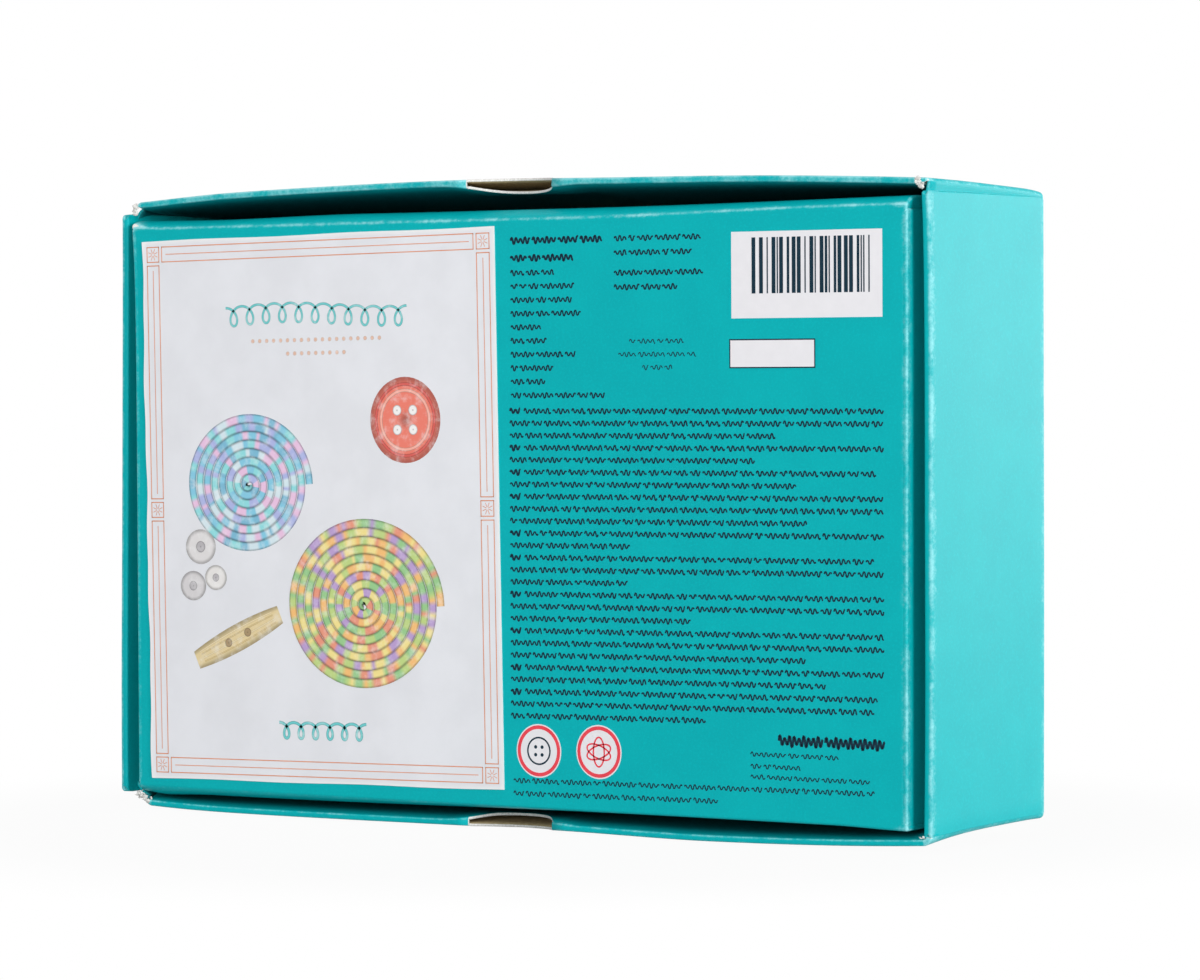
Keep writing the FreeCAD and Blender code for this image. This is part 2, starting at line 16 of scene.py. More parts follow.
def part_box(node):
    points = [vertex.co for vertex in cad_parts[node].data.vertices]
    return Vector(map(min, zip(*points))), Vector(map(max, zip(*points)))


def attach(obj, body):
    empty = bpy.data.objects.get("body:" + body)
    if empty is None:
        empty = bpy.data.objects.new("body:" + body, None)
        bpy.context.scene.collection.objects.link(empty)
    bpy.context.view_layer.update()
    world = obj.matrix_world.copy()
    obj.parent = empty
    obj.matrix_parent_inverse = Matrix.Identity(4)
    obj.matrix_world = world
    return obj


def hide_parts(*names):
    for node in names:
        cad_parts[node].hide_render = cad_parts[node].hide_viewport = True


bl_info = {
    "name": "Cord-maker kit",
    "version": (1, 0, 0),
    "blender": (4, 5, 0),
    "location": "View3D > Sidebar > Kit",
    "description": "Adds the printed carton, its label and the kit inside",
    "category": "Add Mesh",
}

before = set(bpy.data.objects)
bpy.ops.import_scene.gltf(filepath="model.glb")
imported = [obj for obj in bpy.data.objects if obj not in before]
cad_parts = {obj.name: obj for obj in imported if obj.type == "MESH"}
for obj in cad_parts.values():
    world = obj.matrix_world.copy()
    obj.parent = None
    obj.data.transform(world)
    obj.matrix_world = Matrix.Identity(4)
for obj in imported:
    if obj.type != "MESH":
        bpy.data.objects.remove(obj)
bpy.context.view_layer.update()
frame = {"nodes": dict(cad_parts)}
MM = 0.001
WELD = 1e-6


def node_box(node):
    """Lowest and highest corner of a CAD node."""
    return [np.array(corner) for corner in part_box(node)]


BASE_LOW, BASE_HIGH = node_box("base_carton")
LID_LOW, LID_HIGH = node_box("lid_carton")
LABEL_LOW, LABEL_HIGH = node_box("picture_label")
FACE = np.array([(BASE_LOW[0] + BASE_HIGH[0]) / 2, BASE_LOW[1], (BASE_LOW[2] + BASE_HIGH[2]) / 2])
SEED = 11


def length(name, default, note):
    """A size, given in millimetres and kept in metres."""
    return FloatProperty(name=name, description=note, default=default * MM, unit="LENGTH", precision=5)


def angle(name, degrees, note):
    """An angle, given in degrees."""
    return FloatProperty(name=name, description=note, default=math.radians(degrees), subtype="ANGLE")


def colour(name, default, note):
    """A colour, given as it looks on a screen."""
    return FloatVectorProperty(name=name, description=note, default=default, subtype="COLOR_GAMMA", size=3)


class CartonSettings(bpy.types.PropertyGroup):
    """Board, folds and colours of the two carton halves."""

    board: length("Board", 0.6, "Thickness of the cartonboard")
    wall: length("Wall", 2.1, "Roll-over wall: two boards and the hollow between")
    rim_wall: length("Rim", 1.5, "A long wall of the lid at its pressed rim")
    end_wall: length("End wall", 2.0, "Thickness of an end wall")
    fold: length("Fold", 0.62, "Outside rounding of the folds round the base's panel")
    lid_fold: length("Lid fold", 0.8, "Outside rounding of the folds round the lid's panel")
    end_fold: length("End fold", 0.5, "Outside rounding of the end walls' folds")
    roll: length("Roll", 0.7, "Rounding of the rolled rim")
    corner: length("Corner", 0.62, "Rounding of the base's long folds")
    lid_corner: length("Lid corner", 1.2, "Rounding of the lid's long folds at its panel")
    rim_corner: length("Rim corner", 2.4, "Rounding of the lid's worn long folds at the rim")
    sharp_corner: length("Sharp corner", 0.9, "Rounding of the lid's upper right fold at the rim")
    tuck: length("Tuck", 4.8, "The lid's left folds are tucked in behind the end wall at the rim")
    side_step: length("Side step", 4.0, "The left tab stops this far short of the rim")
    tongue: length("Tongue", 0.9, "Rounding of an end wall's corners at the rim")
    base_end_step: length("Base end step", 1.1, "The base's end walls stop this far short of its long folds")
    lid_end_top: length("Lid end top", 2.8, "The lid's right end wall reaches this far above the base")
    lid_end_bottom: length("Lid end bottom", 0.1, "The lid's right end wall reaches this far below the base")
    lid_end_drop: length("Lid end drop", 0.3, "The lid's left end wall starts lower by this much")
    lid_end_reach: length("Lid end reach", 1.0, "The lid's left end wall ends lower by this much")
    lid_end_follow: length("Lid end follow", 1.15, "The lid's right end wall reaches this much lower at the rim")
    top_room: length("Top room", 1.6, "Base to lid under the upper wall, at the lid's panel")
    pressed: length("Pressed", 0.9, "The lower wall at the lid's panel, pressed flat by the kit's weight")
    face_proud: length("Face proud", 1.5, "The printed face stands this far out of the lid's rim")
    rim_lift: length("Rim lift", 1.9, "Flare of the upper wall's corners at the rim")
    rim_drop: length("Rim drop", 1.9, "Flare of the lower wall's corners at the rim")
    bow_top: length("Upper bow", 2.8, "Bow of the upper wall's rim")
    bow_bottom: length("Lower bow", 1.65, "Bow of the lower wall's rim")
    dip: length("Dip", 0.35, "The upper bow is lower by this much right of the notch")
    droop: length("Droop", 0.6, "The lid's upper left corner hangs lower by this much")
    lean: length("Lean", 0.62, "The lower bow stands out this much more at the left and less at the right")
    sink: length("Sink", 0.65, "The lower bow stands out this much more toward the right")
    swell: length("Swell", 0.95, "The base's upper wall swells this much near its corners")
    crown: length("Crown", 1.05, "The base's upper wall swells this much more from its middle to the right")
    belly: length("Belly", 2.1, "The base's lower wall swells this much at its left end")
    draw_in: length("Draw in", 0.7, "The base's lower fold lies this much higher")
    sag: length("Sag", 1.25, "The base's upper fold has sunk by this much")
    open_corner: length("Open corner", 1.1, "The base's upper left corner stands out by this much")
    open_wall: length("Open wall", 1.5, "The lid's left wall stands out by this much at its foot")
    lean_in: length("Lean in", 0.8, "The lid's right wall leans in by this much at its top")
    full: length("Full", 0.34, "The lid's right wall stands out by this much")
    bulge: length("Bulge", 0.25, "The lid's right wall bulges by this much at the rim")
    splay: length("Splay", 0.6, "The base's right wall stands out by this much at its top")
    spring: length("Spring", 0.6, "The long walls stand open by this much more at the thumb notch")
    pinch: length("Pinch", 0.7, "The long walls close by this much behind the thumb notch")
    ripple: length("Ripple", 0.08, "Height of the board's waviness")
    notch_half: length("Notch half width", 12.25, "Half the thumb notch across the rim")
    notch_depth: length("Notch depth", 7.8, "Thumb notch into the wall")
    notch_place: length("Notch place", 1.5, "The upper thumb notch is off the middle by this much")
    notch_lift: length("Notch lift", 1.0, "The outer board springs out by this much behind the notch")
    coat: colour("Coated side", (0.0, 0.70, 0.72), "Printed colour of the coated side")
    coat_deep: colour("Deep patches", (0.0, 0.68, 0.705), "Darker mottling of the print")
    # Painted shade: the lid's inner boards turn to this darker teal away from the rim, standing in for the shade
    # inside the lid.
    painted_shade_inner: colour("Inner boards", (0.0, 0.40, 0.42), "Print of the lid's inner boards, away from the rim")
    rubbed: colour("Rubbed", (0.62, 0.90, 0.92), "Print that is rubbed thin")
    core: colour("Core", (0.96, 0.955, 0.94), "Bare paper where the print is worn off, and cut edges")
    inside: colour("Uncoated side", (0.72, 0.65, 0.50), "Brown-grey back of the board")


class PrintSettings(bpy.types.PropertyGroup):
    """Label paper, inks and the panels printed on the base's face."""

    paper: colour("Paper", (0.925, 0.93, 0.95), "Label paper")
    label_turn: angle("Label turn", 0.9, "The label is stuck askew")
    label_width: length("Label width", 105.0, "Label, across")
    label_height: length("Label height", 131.5, "Label, upright")
    film: length("Ink film", 0.03, "Thickness that a printed shape is given")
    dark: colour("Dark ink", (0.06, 0.17, 0.23), "Text and code bars")
    white: colour("White ink", (0.92, 0.915, 0.93), "White panels")
    red: colour("Red ink", (0.91, 0.27, 0.32), "Rings and the button")
    orange: colour("Orange ink", (0.84, 0.56, 0.43), "Frame lines of the label")
    teal: colour("Teal ink", (0.16, 0.62, 0.63), "Looped cord on the label")
    line_pitch: length("Line pitch", 2.84, "From one text line to the next")
    bar_height: length("Text height", 1.4, "Height of a text squiggle")


class ContentSettings(bpy.types.PropertyGroup):
    stem: colour("Limed wood", (0.80, 0.785, 0.76), "Stem of the spool")
    cap: colour("Cap paint", (0.86, 0.13, 0.10), "Painted cap of the spool")
    dots: colour("Dots", (0.95, 0.94, 0.92), "Painted dots of the cap")
    wire: colour("Wire", (0.62, 0.66, 0.72), "Peg wire")
    hook: colour("Hook wood", (0.80, 0.64, 0.38), "Wood of the hook needle")
    kraft: colour("Band paper", (0.80, 0.74, 0.63), "Paper band of a skein")
    thread: colour("Thread", (0.36, 0.33, 0.30), "Stitches of the band")
    card: colour("Card", (0.90, 0.885, 0.85), "Insert card")
    print: colour("Leaflet print", (0.16, 0.42, 0.46), "Ink of the leaflet")
    strand: length("Strand", 1.15, "Radius of the yarn")
    orbits: IntProperty(name="Turns", description="Turns of yarn in the outer layer", default=54)


class StageSettings(bpy.types.PropertyGroup):
    """Camera, lamps and floor."""

    lens: FloatProperty(name="Lens", description="Focal length", default=142.52, unit="CAMERA")
    camera_x: length("Camera X", 630.66, "Camera place, to the right of the face's middle")
    camera_y: length("Camera Y", -910.63, "Camera place, in front of the face")
    camera_z: length("Camera Z", 32.56, "Camera place, above the face's middle")
    yaw: angle("Yaw", 33.5, "Camera turn to the left of +Y")
    pitch: angle("Pitch", 1.42, "Camera tilt downward")
    roll: angle("Roll", -0.2595, "Camera roll")
    world: FloatProperty(name="World light", description="Strength of the light from all round", default=0.4)
    key: FloatProperty(name="Key light", description="Watts of the lamp on the right", default=35.0)
    fill: FloatProperty(name="Fill light", description="Watts of the large lamp in front", default=11.8)
    sheen: FloatProperty(name="Sheen light", description="Watts of the lamp behind, on the right", default=8.5)


# --- meshes -------------------------------------------------------------------------------------------------


def xyz(x, y, z):
    """Points from places along the three axes, each an array or one number."""
    return np.stack(np.broadcast_arrays(x, y, z), axis=-1)


def around(steps):
    """Angles of equal steps round a circle."""
    return np.linspace(0, 2 * np.pi, steps + 1)[:-1]


def arc_lengths(line):
    """Length along a line of points, from its start to each point."""
    return np.concatenate([[0], np.cumsum(np.linalg.norm(np.diff(line, axis=0), axis=1))])


def grid_faces(rows, cols, wrap_rows=False, wrap_cols=False):
    """Quads of a grid of points numbered row by row. A wrapped way joins its last line to its first."""
    r, c = np.meshgrid(np.arange(rows - (not wrap_rows)), np.arange(cols - (not wrap_cols)), indexing="ij")
    r, c = r.ravel(), c.ravel()
    below, right = (r + 1) % rows, (c + 1) % cols
    return np.stack([r * cols + c, r * cols + right, below * cols + right, below * cols + c], axis=-1)


class Patchwork:
    """Grid patches gathered into one mesh, with UV, wear, tint and material at their points and faces."""

    def __init__(self):
        self.parts = []
        self.count = 0

    def add(self, points, away=None, toward=None, facing=None, wrap=(False, False), wear=0.0,
            tint=(1.0, 1.0, 1.0), uv=None, finish=0):
        """Adds a grid (rows, columns, 3). Its front looks away from a point, toward a point, or the way given.

        finish is the index of its material, for the whole grid, for each column of faces or for each face.
        """
        rows, cols = points.shape[:2]
        faces = grid_faces(rows, cols, *wrap)
        flat = np.asarray(points, float).reshape(-1, 3)
        a, b, c, d = (flat[faces[:, k]] for k in range(4))
        normals = np.cross(c - a, d - b)
        middle = (a + b + c + d) / 4
        if away is not None:
            want = middle - np.asarray(away)
        elif toward is not None:
            want = np.asarray(toward) - middle
        else:
            want = np.asarray(facing if facing is not None else (0, -1, 0), float)
        if np.sum(normals * want) < 0:
            faces = faces[:, ::-1]
        if uv is None:
            v, u = np.meshgrid(np.linspace(0, 1, rows), np.linspace(0, 1, cols), indexing="ij")
            uv = np.stack([u, v], axis=-1)
        size = rows * cols
        finish = np.resize(finish, len(faces))
        self.parts.append((flat, faces + self.count, np.asarray(uv, float).reshape(-1, 2),
                           np.broadcast_to(wear, (rows, cols)).reshape(-1),
                           np.broadcast_to(tint, (rows, cols, 3)).reshape(-1, 3), finish))
        self.count += size

    def mesh(self, name, weld=0.0, smooth=True):
        """One mesh of all patches. Points closer than weld become one, which also closes poles."""
        points, faces, uv, wear, tint, finish = (np.concatenate(column) for column in zip(*self.parts))
        mesh = bpy.data.meshes.new(name)
        mesh.from_pydata(points.tolist(), [], faces.tolist())
        mesh.uv_layers.new(name="UVMap").data.foreach_set("uv", uv[faces.ravel()].ravel())
        mesh.attributes.new("wear", "FLOAT", "POINT").data.foreach_set("value", wear.astype(np.float32))
        rgba = np.concatenate([tint, np.ones((len(tint), 1))], axis=1).astype(np.float32)
        mesh.attributes.new("tint", "FLOAT_COLOR", "POINT").data.foreach_set("color", rgba.ravel())
        mesh.polygons.foreach_set("material_index", finish.astype(np.int32))
        mesh.polygons.foreach_set("use_smooth", np.full(len(faces), smooth))
        if weld:
            work = bmesh.new()
            work.from_mesh(mesh)
            bmesh.ops.remove_doubles(work, verts=work.verts, dist=weld)
            bmesh.ops.dissolve_degenerate(work, edges=work.edges, dist=weld / 2)
            work.to_mesh(mesh)
            work.free()
        mesh.update()
        return mesh


def add_piece(name, mesh, body, finishes, replaced=(), board=0.0):
    """A piece of the object: its mesh, its finishes and the CAD body that carries it.

    board is the thickness that a sheet is given, to its back.
    """
    piece = bpy.data.objects.new(name, mesh)
    bpy.context.scene.collection.objects.link(piece)
    for finish in finishes:
        piece.data.materials.append(finish)
    if board:
        wall = piece.modifiers.new("board", "SOLIDIFY")
        wall.thickness = board
        wall.offset = -1
        wall.use_even_offset = True
        wall.material_offset = min(1, len(finishes) - 1)
        wall.material_offset_rim = min(2, len(finishes) - 1)
    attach(piece, body)
    if replaced:
        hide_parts(*replaced)
    return piece


def add_print(name, work, body, finish, film, weld=WELD):
    """A printed piece: flat shapes with the thickness of an ink film."""
    add_piece(name, work.mesh(name, weld=weld, smooth=False), body, [finish], board=film)


# --- finishes -----------------------------------------------------------------------------------------------


def linear(shade):
    """Screen colour to scene-linear: (c + 0.055) / 1.055 to the power 2.4, or c / 12.92 where c is small."""
    c = np.asarray(shade, float)
    return (*np.where(c <= 0.04045, c / 12.92, ((c + 0.055) / 1.055) ** 2.4), 1.0)


def shaded(shade, factor):
    """The colour with each channel times the factor, up to 1."""
    return tuple(min(1.0, factor * c) for c in shade)


class Nodes:
    """Short calls for the nodes of a shader tree."""

    def __init__(self, tree):
        self.tree = tree

    def node(self, kind, inputs=(), **settings):
        """A new node with these settings, its first inputs linked or set in order."""
        made = self.tree.nodes.new(kind)
        for key, value in settings.items():
            setattr(made, key, value)
        for index, value in enumerate(inputs):
            self.put(value, made.inputs[index])
        return made

    def put(self, value, socket):
        """Links a socket to the input, or sets the input to a plain value."""
        if isinstance(value, bpy.types.NodeSocket):
            self.tree.links.new(value, socket)
        elif value is not None:
            socket.default_value = value

    def math(self, operation, *values):
        """What a math node makes of the values."""
        return self.node("ShaderNodeMath", values, operation=operation).outputs[0]

    def plus(self, first, second):
        return self.math("ADD", first, second)

    def minus(self, first, second):
        return self.math("SUBTRACT", first, second)

    def times(self, first, second):
        return self.math("MULTIPLY", first, second)

    def seen(self):
        """1 on the rays that show a surface: those of the camera, of gloss and of glass."""
        path = self.node("ShaderNodeLightPath").outputs
        return self.math("MAXIMUM", path["Is Camera Ray"],
                         self.math("MAXIMUM", path["Is Glossy Ray"], path["Is Transmission Ray"]))


class Finish(Nodes):
    """A material being made: its shader and short calls for what these finishes share."""

    def __init__(self, name, roughness=0.5, **sockets):
        self.material = bpy.data.materials.new(name)
        self.material.use_nodes = True
        super().__init__(self.material.node_tree)
        self.shader = self.tree.nodes["Principled BSDF"]
        self.shader.inputs["Roughness"].default_value = roughness
        for socket, value in sockets.items():
            self.shader.inputs[socket.replace("_", " ")].default_value = value
        self.place = self.node("ShaderNodeTexCoord").outputs["Object"]

    def stretched(self, scale):
        """Object coordinates times a scale of their own for each axis."""
        made = self.node("ShaderNodeMapping", (self.place,))
        made.inputs["Scale"].default_value = scale
        return made.outputs[0]

    def noise(self, scale, detail=3.0, rough=0.55, where=None):
        """Noise texture, 0 to 1, in object coordinates or where it is told."""
        made = self.node("ShaderNodeTexNoise")
        self.put(where or self.place, made.inputs["Vector"])
        made.inputs["Scale"].default_value = scale
        made.inputs["Detail"].default_value = detail
        made.inputs["Roughness"].default_value = rough
        return made.outputs[0]

    def attribute(self, name, output="Fac"):
        """An attribute of the mesh, such as its wear or its tint."""
        return self.node("ShaderNodeAttribute", attribute_name=name).outputs[output]

    def parts(self, vector):
        """The three numbers of a vector."""
        return self.node("ShaderNodeSeparateXYZ", (vector,)).outputs

    def uv(self):
        """The parts of the mesh's UV map."""
        return self.parts(self.node("ShaderNodeUVMap", uv_map="UVMap").outputs[0])

    def between(self, value, low, high, to_low=0.0, to_high=1.0):
        """value, from low to high, turned into to_low to to_high with soft ends."""
        return self.node("ShaderNodeMapRange", (value, low, high, to_low, to_high),
                         interpolation_type="SMOOTHSTEP").outputs[0]

    def mix(self, share, first, second, blend="MIX"):
        """The first colour, with the second laid over it by the share."""
        made = self.node("ShaderNodeMix", data_type="RGBA", blend_type=blend)
        self.put(share, made.inputs[0])
        for shade, socket in ((first, made.inputs[6]), (second, made.inputs[7])):
            self.put(shade if isinstance(shade, bpy.types.NodeSocket) else linear(shade), socket)
        return made.outputs[2]

    def mottled(self, noise, low, high, shade, factor):
        """The colour, and where the noise is low the colour times the factor."""
        return self.mix(self.between(noise, low, high), shaded(shade, factor), shade)

    def bump(self, height, distance, strength=1.0):
        """Lets the height disturb the shading."""
        made = self.node("ShaderNodeBump")
        made.inputs["Strength"].default_value = strength
        made.inputs["Distance"].default_value = distance
        self.put(height, made.inputs["Height"])
        self.put(made.outputs[0], self.shader.inputs["Normal"])

    def done(self, base=None, roughness=None):
        """Links the colour and the roughness, and gives the material."""
        self.put(base, self.shader.inputs["Base Color"])
        self.put(roughness, self.shader.inputs["Roughness"])
        return self.material


def coated_board(carton, inner=False):
    """Teal coated board: mottled print, rubbed thin and then white where the wear attribute rises.

    On the lid's inner boards the print darkens over the first millimetres behind the rim, as painted shade for
    the hollow inside the lid.
    """
    finish = Finish("inner_board" if inner else "coated_board", 0.45, Specular_IOR_Level=0.12)
    mottle = finish.noise(90, 5, 0.6)
    grain = finish.noise(1700, 4, 0.7)
    speck = finish.noise(900, 5, 0.75)
    patches = finish.between(finish.noise(150, 3, 0.6), 0.3, 0.7, 0.5, 1.3)
    wear = finish.times(finish.attribute("wear"), patches)
    print_colour = finish.mix(finish.between(mottle, 0.3, 0.72), carton.coat_deep, carton.coat)
    pale = finish.between(grain, 0.45, 0.75, 0, 0.7)
    print_colour = finish.mix(pale, print_colour, shaded(carton.coat, 1.07))
    if inner:
        # Painted shade: the print turns to the darker inner colour over the first millimetres behind the rim.
        behind = finish.parts(finish.place)[1]
        rim = FACE[1] + carton.face_proud
        darker = finish.between(behind, rim + 0.4 * MM, rim + 7 * MM)
        print_colour = finish.mix(darker, print_colour, carton.painted_shade_inner)
    loose = finish.times(finish.minus(speck, 0.5), finish.between(wear, 0, 0.2, 0, 0.9))
    thin = finish.between(finish.plus(wear, loose), 0.06, 0.7, 0, 0.85)
    bare = finish.between(finish.plus(wear, finish.times(finish.minus(grain, 0.5), 0.9)), 0.8, 1.05)
    worn = finish.mix(bare, finish.mix(thin, print_colour, carton.rubbed), carton.core)
    height = finish.plus(finish.times(mottle, 2.0), finish.times(grain, 0.6))
    finish.bump(finish.minus(height, finish.times(bare, 1.5)), 0.03 * MM, 0.35)
    return finish.done(worn, finish.between(bare, 0, 1, 0.45, 0.85))


def inner_board(carton):
    """Coated side of the lid's inner boards, darkened behind the rim as painted shade."""
    return coated_board(carton, inner=True)


def uncoated_board(carton):
    """Brown-grey back of the board: short fibres of lighter and darker pulp."""
    finish = Finish("uncoated_board", 0.9, Specular_IOR_Level=0.2)
    fibre = finish.noise(1100, 5, 0.7, finish.stretched((1, 1, 0.35)))
    base = finish.mottled(fibre, 0.3, 0.7, carton.inside, 0.82)
    base = finish.mix(finish.between(finish.noise(2600, 2), 0.68, 0.78, 0, 0.5), base, carton.core)
    finish.bump(fibre, 0.06 * MM, 0.5)
    return finish.done(base)


def cut_board(carton):
    """White-grey cut edge of the board, a little furry."""
    finish = Finish("cut_board", 0.9, Specular_IOR_Level=0.2)
    fur = finish.noise(2600, 4, 0.7)
    finish.bump(fur, 0.08 * MM, 0.6)
    return finish.done(finish.mottled(fur, 0.35, 0.7, carton.core, 0.86))


def label_paper(ink):
    """Smooth white paper with a faint cool cast and fine fibres."""
    finish = Finish("label_paper", 0.55, Specular_IOR_Level=0.35)
    cloud = finish.noise(70, 4)
    fibre = finish.noise(1900, 4, 0.65)
    base = finish.mottled(cloud, 0.3, 0.7, ink.paper, 0.975)
    base = finish.mix(finish.between(fibre, 0.62, 0.8, 0, 0.25), base, shaded(ink.paper, 0.93))
    edge = finish.between(finish.attribute("wear"), 0.2, 1.0, 0, 0.6)
    base = finish.mix(edge, base, (0.97, 0.97, 0.96))
    finish.bump(finish.plus(cloud, finish.times(fibre, 0.3)), 0.03 * MM, 0.35)
    return finish.done(base)


def ink_film(name, shade, spread=0.1):
    """A printed ink: its colour varies a little with the paper's grain and thins in specks."""
    finish = Finish(name, 0.5, Specular_IOR_Level=0.12)
    cloud = finish.noise(260, 4, 0.6)
    speck = finish.noise(3200, 3, 0.6)
    lighter = tuple(min(1.0, c + spread) for c in shade)
    base = finish.mix(finish.between(cloud, 0.3, 0.7, 0, 0.6), shade, lighter)
    return finish.done(finish.mix(finish.between(speck, 0.62, 0.75, 0, 0.5), base, lighter))


def painted_art(name):
    """Printed drawing: each stroke's own tint, darker and washed toward its borders, with paper grain."""
    finish = Finish(name, 0.5, Specular_IOR_Level=0.35)
    rim = finish.math("ABSOLUTE", finish.minus(finish.uv()[1], 0.5))
    wash = finish.noise(330, 4, 0.65)
    shaded_rim = finish.between(rim, 0.22, 0.5, 0, 0.55)
    base = finish.mix(shaded_rim, finish.attribute("tint", "Color"), (0.30, 0.28, 0.30), "MULTIPLY")
    return finish.done(finish.mix(finish.between(wash, 0.45, 0.75, 0, 0.4), base, (1.0, 1.0, 1.0), "SCREEN"))


def turned_wood(name, shade, scale):
    """Wood with long fine grain: noise stretched along the length, in two sizes, and darker pores."""
    finish = Finish(name, 0.62, Specular_IOR_Level=0.3)
    along = finish.stretched((1, 1, 0.06))
    grain = finish.noise(scale, 6, 0.65, along)
    pores = finish.noise(scale * 4, 3, 0.6, along)
    base = finish.mottled(grain, 0.35, 0.65, shade, 0.82)
    base = finish.mix(finish.between(pores, 0.6, 0.75, 0, 0.55), base, shaded(shade, 0.62))
    base = finish.mix(finish.between(finish.noise(60, 3), 0.3, 0.7, 0, 0.3), base, shaded(shade, 1.1))
    finish.bump(finish.minus(grain, pores), 0.08 * MM, 0.5)
    return finish.done(base)


# --- cartons ------------------------------------------------------------------------------------------------


def smooth(value, low, high):
    """0 below low, 1 above high and a soft step between: three times the square less twice the cube."""
    t = np.clip((value - low) / (high - low), 0, 1)
    return t * t * (3 - 2 * t)


def base_form(carton):
    """The base: printed panel at the front, open side at the back."""
    ends = (BASE_HIGH[2] - carton.base_end_step, BASE_LOW[2] + carton.base_end_step)
    return SimpleNamespace(
        half=(BASE_HIGH[0] - BASE_LOW[0]) / 2, top=BASE_HIGH[2], bottom=BASE_LOW[2], panel=BASE_LOW[1], way=1.0,
        depth=BASE_HIGH[1] - BASE_LOW[1], rise=base_rise, settle=base_settle, notch=0.0, places=(0.0, 0.0),
        rim_corners=dict.fromkeys((1, 3, 5, 7), carton.corner), tuck={5: 0.0, 7: 0.0},
        ends={-1: ends, 1: ends}, follow={-1: 0.0, 1: 0.0}, thick=(carton.wall, carton.wall),
        pressed=carton.wall, fold=carton.fold, corner=carton.corner, end_round=0.5 * MM)


def lid_form(carton):
    """The lid: bare panel at the back, rim at the front, long walls flared and bowed toward the rim."""
    high, low = BASE_HIGH[2] + carton.lid_end_top, BASE_LOW[2] - carton.lid_end_bottom
    worn = carton.rim_corner
    return SimpleNamespace(
        half=(LID_HIGH[0] - LID_LOW[0]) / 2, top=BASE_HIGH[2] + carton.top_room + carton.wall,
        bottom=BASE_LOW[2] - carton.pressed, panel=LID_HIGH[1], way=-1.0,
        depth=LID_HIGH[1] - FACE[1] - carton.face_proud, rise=lid_rise, settle=lid_settle,
        notch=carton.notch_depth, places=(carton.notch_place, 0.55 * carton.notch_place),
        rim_corners={1: carton.sharp_corner, 3: 0.95 * worn, 5: 0.7 * worn, 7: 0.55 * worn},
        tuck={5: 1.55 * carton.tuck, 7: carton.tuck},
        ends={-1: (high - carton.lid_end_drop, low - carton.lid_end_reach), 1: (high, low)},
        follow={-1: 0.0, 1: carton.lid_end_follow}, thick=(carton.rim_wall, carton.wall),
        pressed=carton.pressed - 0.1 * MM, fold=carton.lid_fold, corner=carton.lid_corner,
        end_round=carton.lid_corner)


def base_rise(carton, side, x, f):
    """How far a long wall of the base stands out at x, f of the way from panel to rim.

    The upper wall swells near its corners, by the square of x over the half width, and toward the right. The
    lower wall swells most toward its left end. Both start at the fold, by one less a falling exponential of
    depth, and end at the rim.
    """
    s = x / (BASE_HIGH[0] - FACE[0])
    depth = f * (BASE_HIGH[1] - BASE_LOW[1])
    wave = (1 - np.exp(-(depth / (1.8 * MM)) ** 1.3)) * (1 - f ** 2)
    if side == 0:
        return (carton.swell * (0.15 + 0.85 * s ** 2) + carton.crown * smooth(s, -0.85, -0.4)) * wave
    left = (1 - smooth(s, -0.8, 0.6)) * (0.5 + 0.5 * smooth(s, -1.0, -0.94))
    return carton.belly * left * wave * np.exp(-depth / (14 * MM))


def lid_rise(carton, side, x, f):
    """How far a long wall of the lid stands out at x, f of the way from panel to rim.

    Flare and bow grow with f. The upper bow falls off with the square of x over the half width and dips by a
    bell curve right of the notch, and its left end droops. The lower one falls off with the eighth power on the
    left and the fourth on the right, leans to the left and sinks toward the right. At the right fold the upper
    flare grows with the root of f, the lower one with its cube.
    """
    s = np.clip(x / (LID_HIGH[0] - FACE[0]), -1, 1)
    if side == 0:
        share = f + (np.sqrt(f) - f) * smooth(s, 0.8, 1.0)
        bow = carton.rim_lift + carton.bow_top * (1 - s ** 2) - carton.dip * np.exp(-((s - 0.25) / 0.25) ** 2)
        return share * (bow - carton.droop * (1 - smooth(s, -1.0, -0.7)))
    steep = np.where(s < 0, 8.0, 4.0)
    share = f + (f ** 3 - f) * smooth(s, 0.8, 1.0)
    return share * (carton.rim_drop + carton.bow_bottom * (1 - np.abs(s) ** steep) - carton.lean * s
                    + carton.sink * smooth(s, 0.1, 0.5))


def ripples(points, height):
    """Gentle waviness of the board: the mean of three sines of different length and direction."""
    x, y, z = points[..., 0], points[..., 1], points[..., 2]
    return height * (np.sin(x * 61 + 1.3) + np.sin(z * 83 + y * 41) + np.sin(y * 190 + x * 23 + 0.7)) / 3


def base_settle(carton, points, depth):
    """The base as it has settled: its upper fold sags and its lower fold lies higher.

    The sag is largest left of the middle and fades with depth. The upper left corner has opened outward, fading
    down the fold and with depth. The right wall stands out a little, most at its top. Each move is a soft step
    across, and each fading is a falling exponential.
    """
    x, z = points[..., 0], points[..., 2]
    top, bottom, left = BASE_HIGH[2], BASE_LOW[2], BASE_LOW[0]
    s = (x - FACE[0]) / (BASE_HIGH[0] - FACE[0])
    near = np.exp(-depth / (2.2 * MM))
    sag = carton.sag * (1 - smooth(x, 20 * MM, 100 * MM)) * (0.15 + 0.85 * smooth(s, -1.0, -0.95))
    inner = smooth(s, -0.97, -0.8)
    raised = carton.draw_in * (inner - 0.65 * smooth(s, 0.82, 1.0) + 1.05 * (1 - inner) * near)
    low = smooth(bottom + 6 * MM - z, 0, 6 * MM)
    points[..., 2] += raised * low - sag * near * smooth(z, top - 6 * MM, top)
    flare = np.exp(-(top - z) / (13 * MM)) * smooth(-x, -left - 5 * MM, -left) * np.exp(-depth / (7 * MM))
    points[..., 0] -= carton.open_corner * flare
    points[..., 0] += carton.splay * smooth(s, 0.93, 0.99) * (0.4 + 0.6 * smooth(z, bottom, top))
    return points


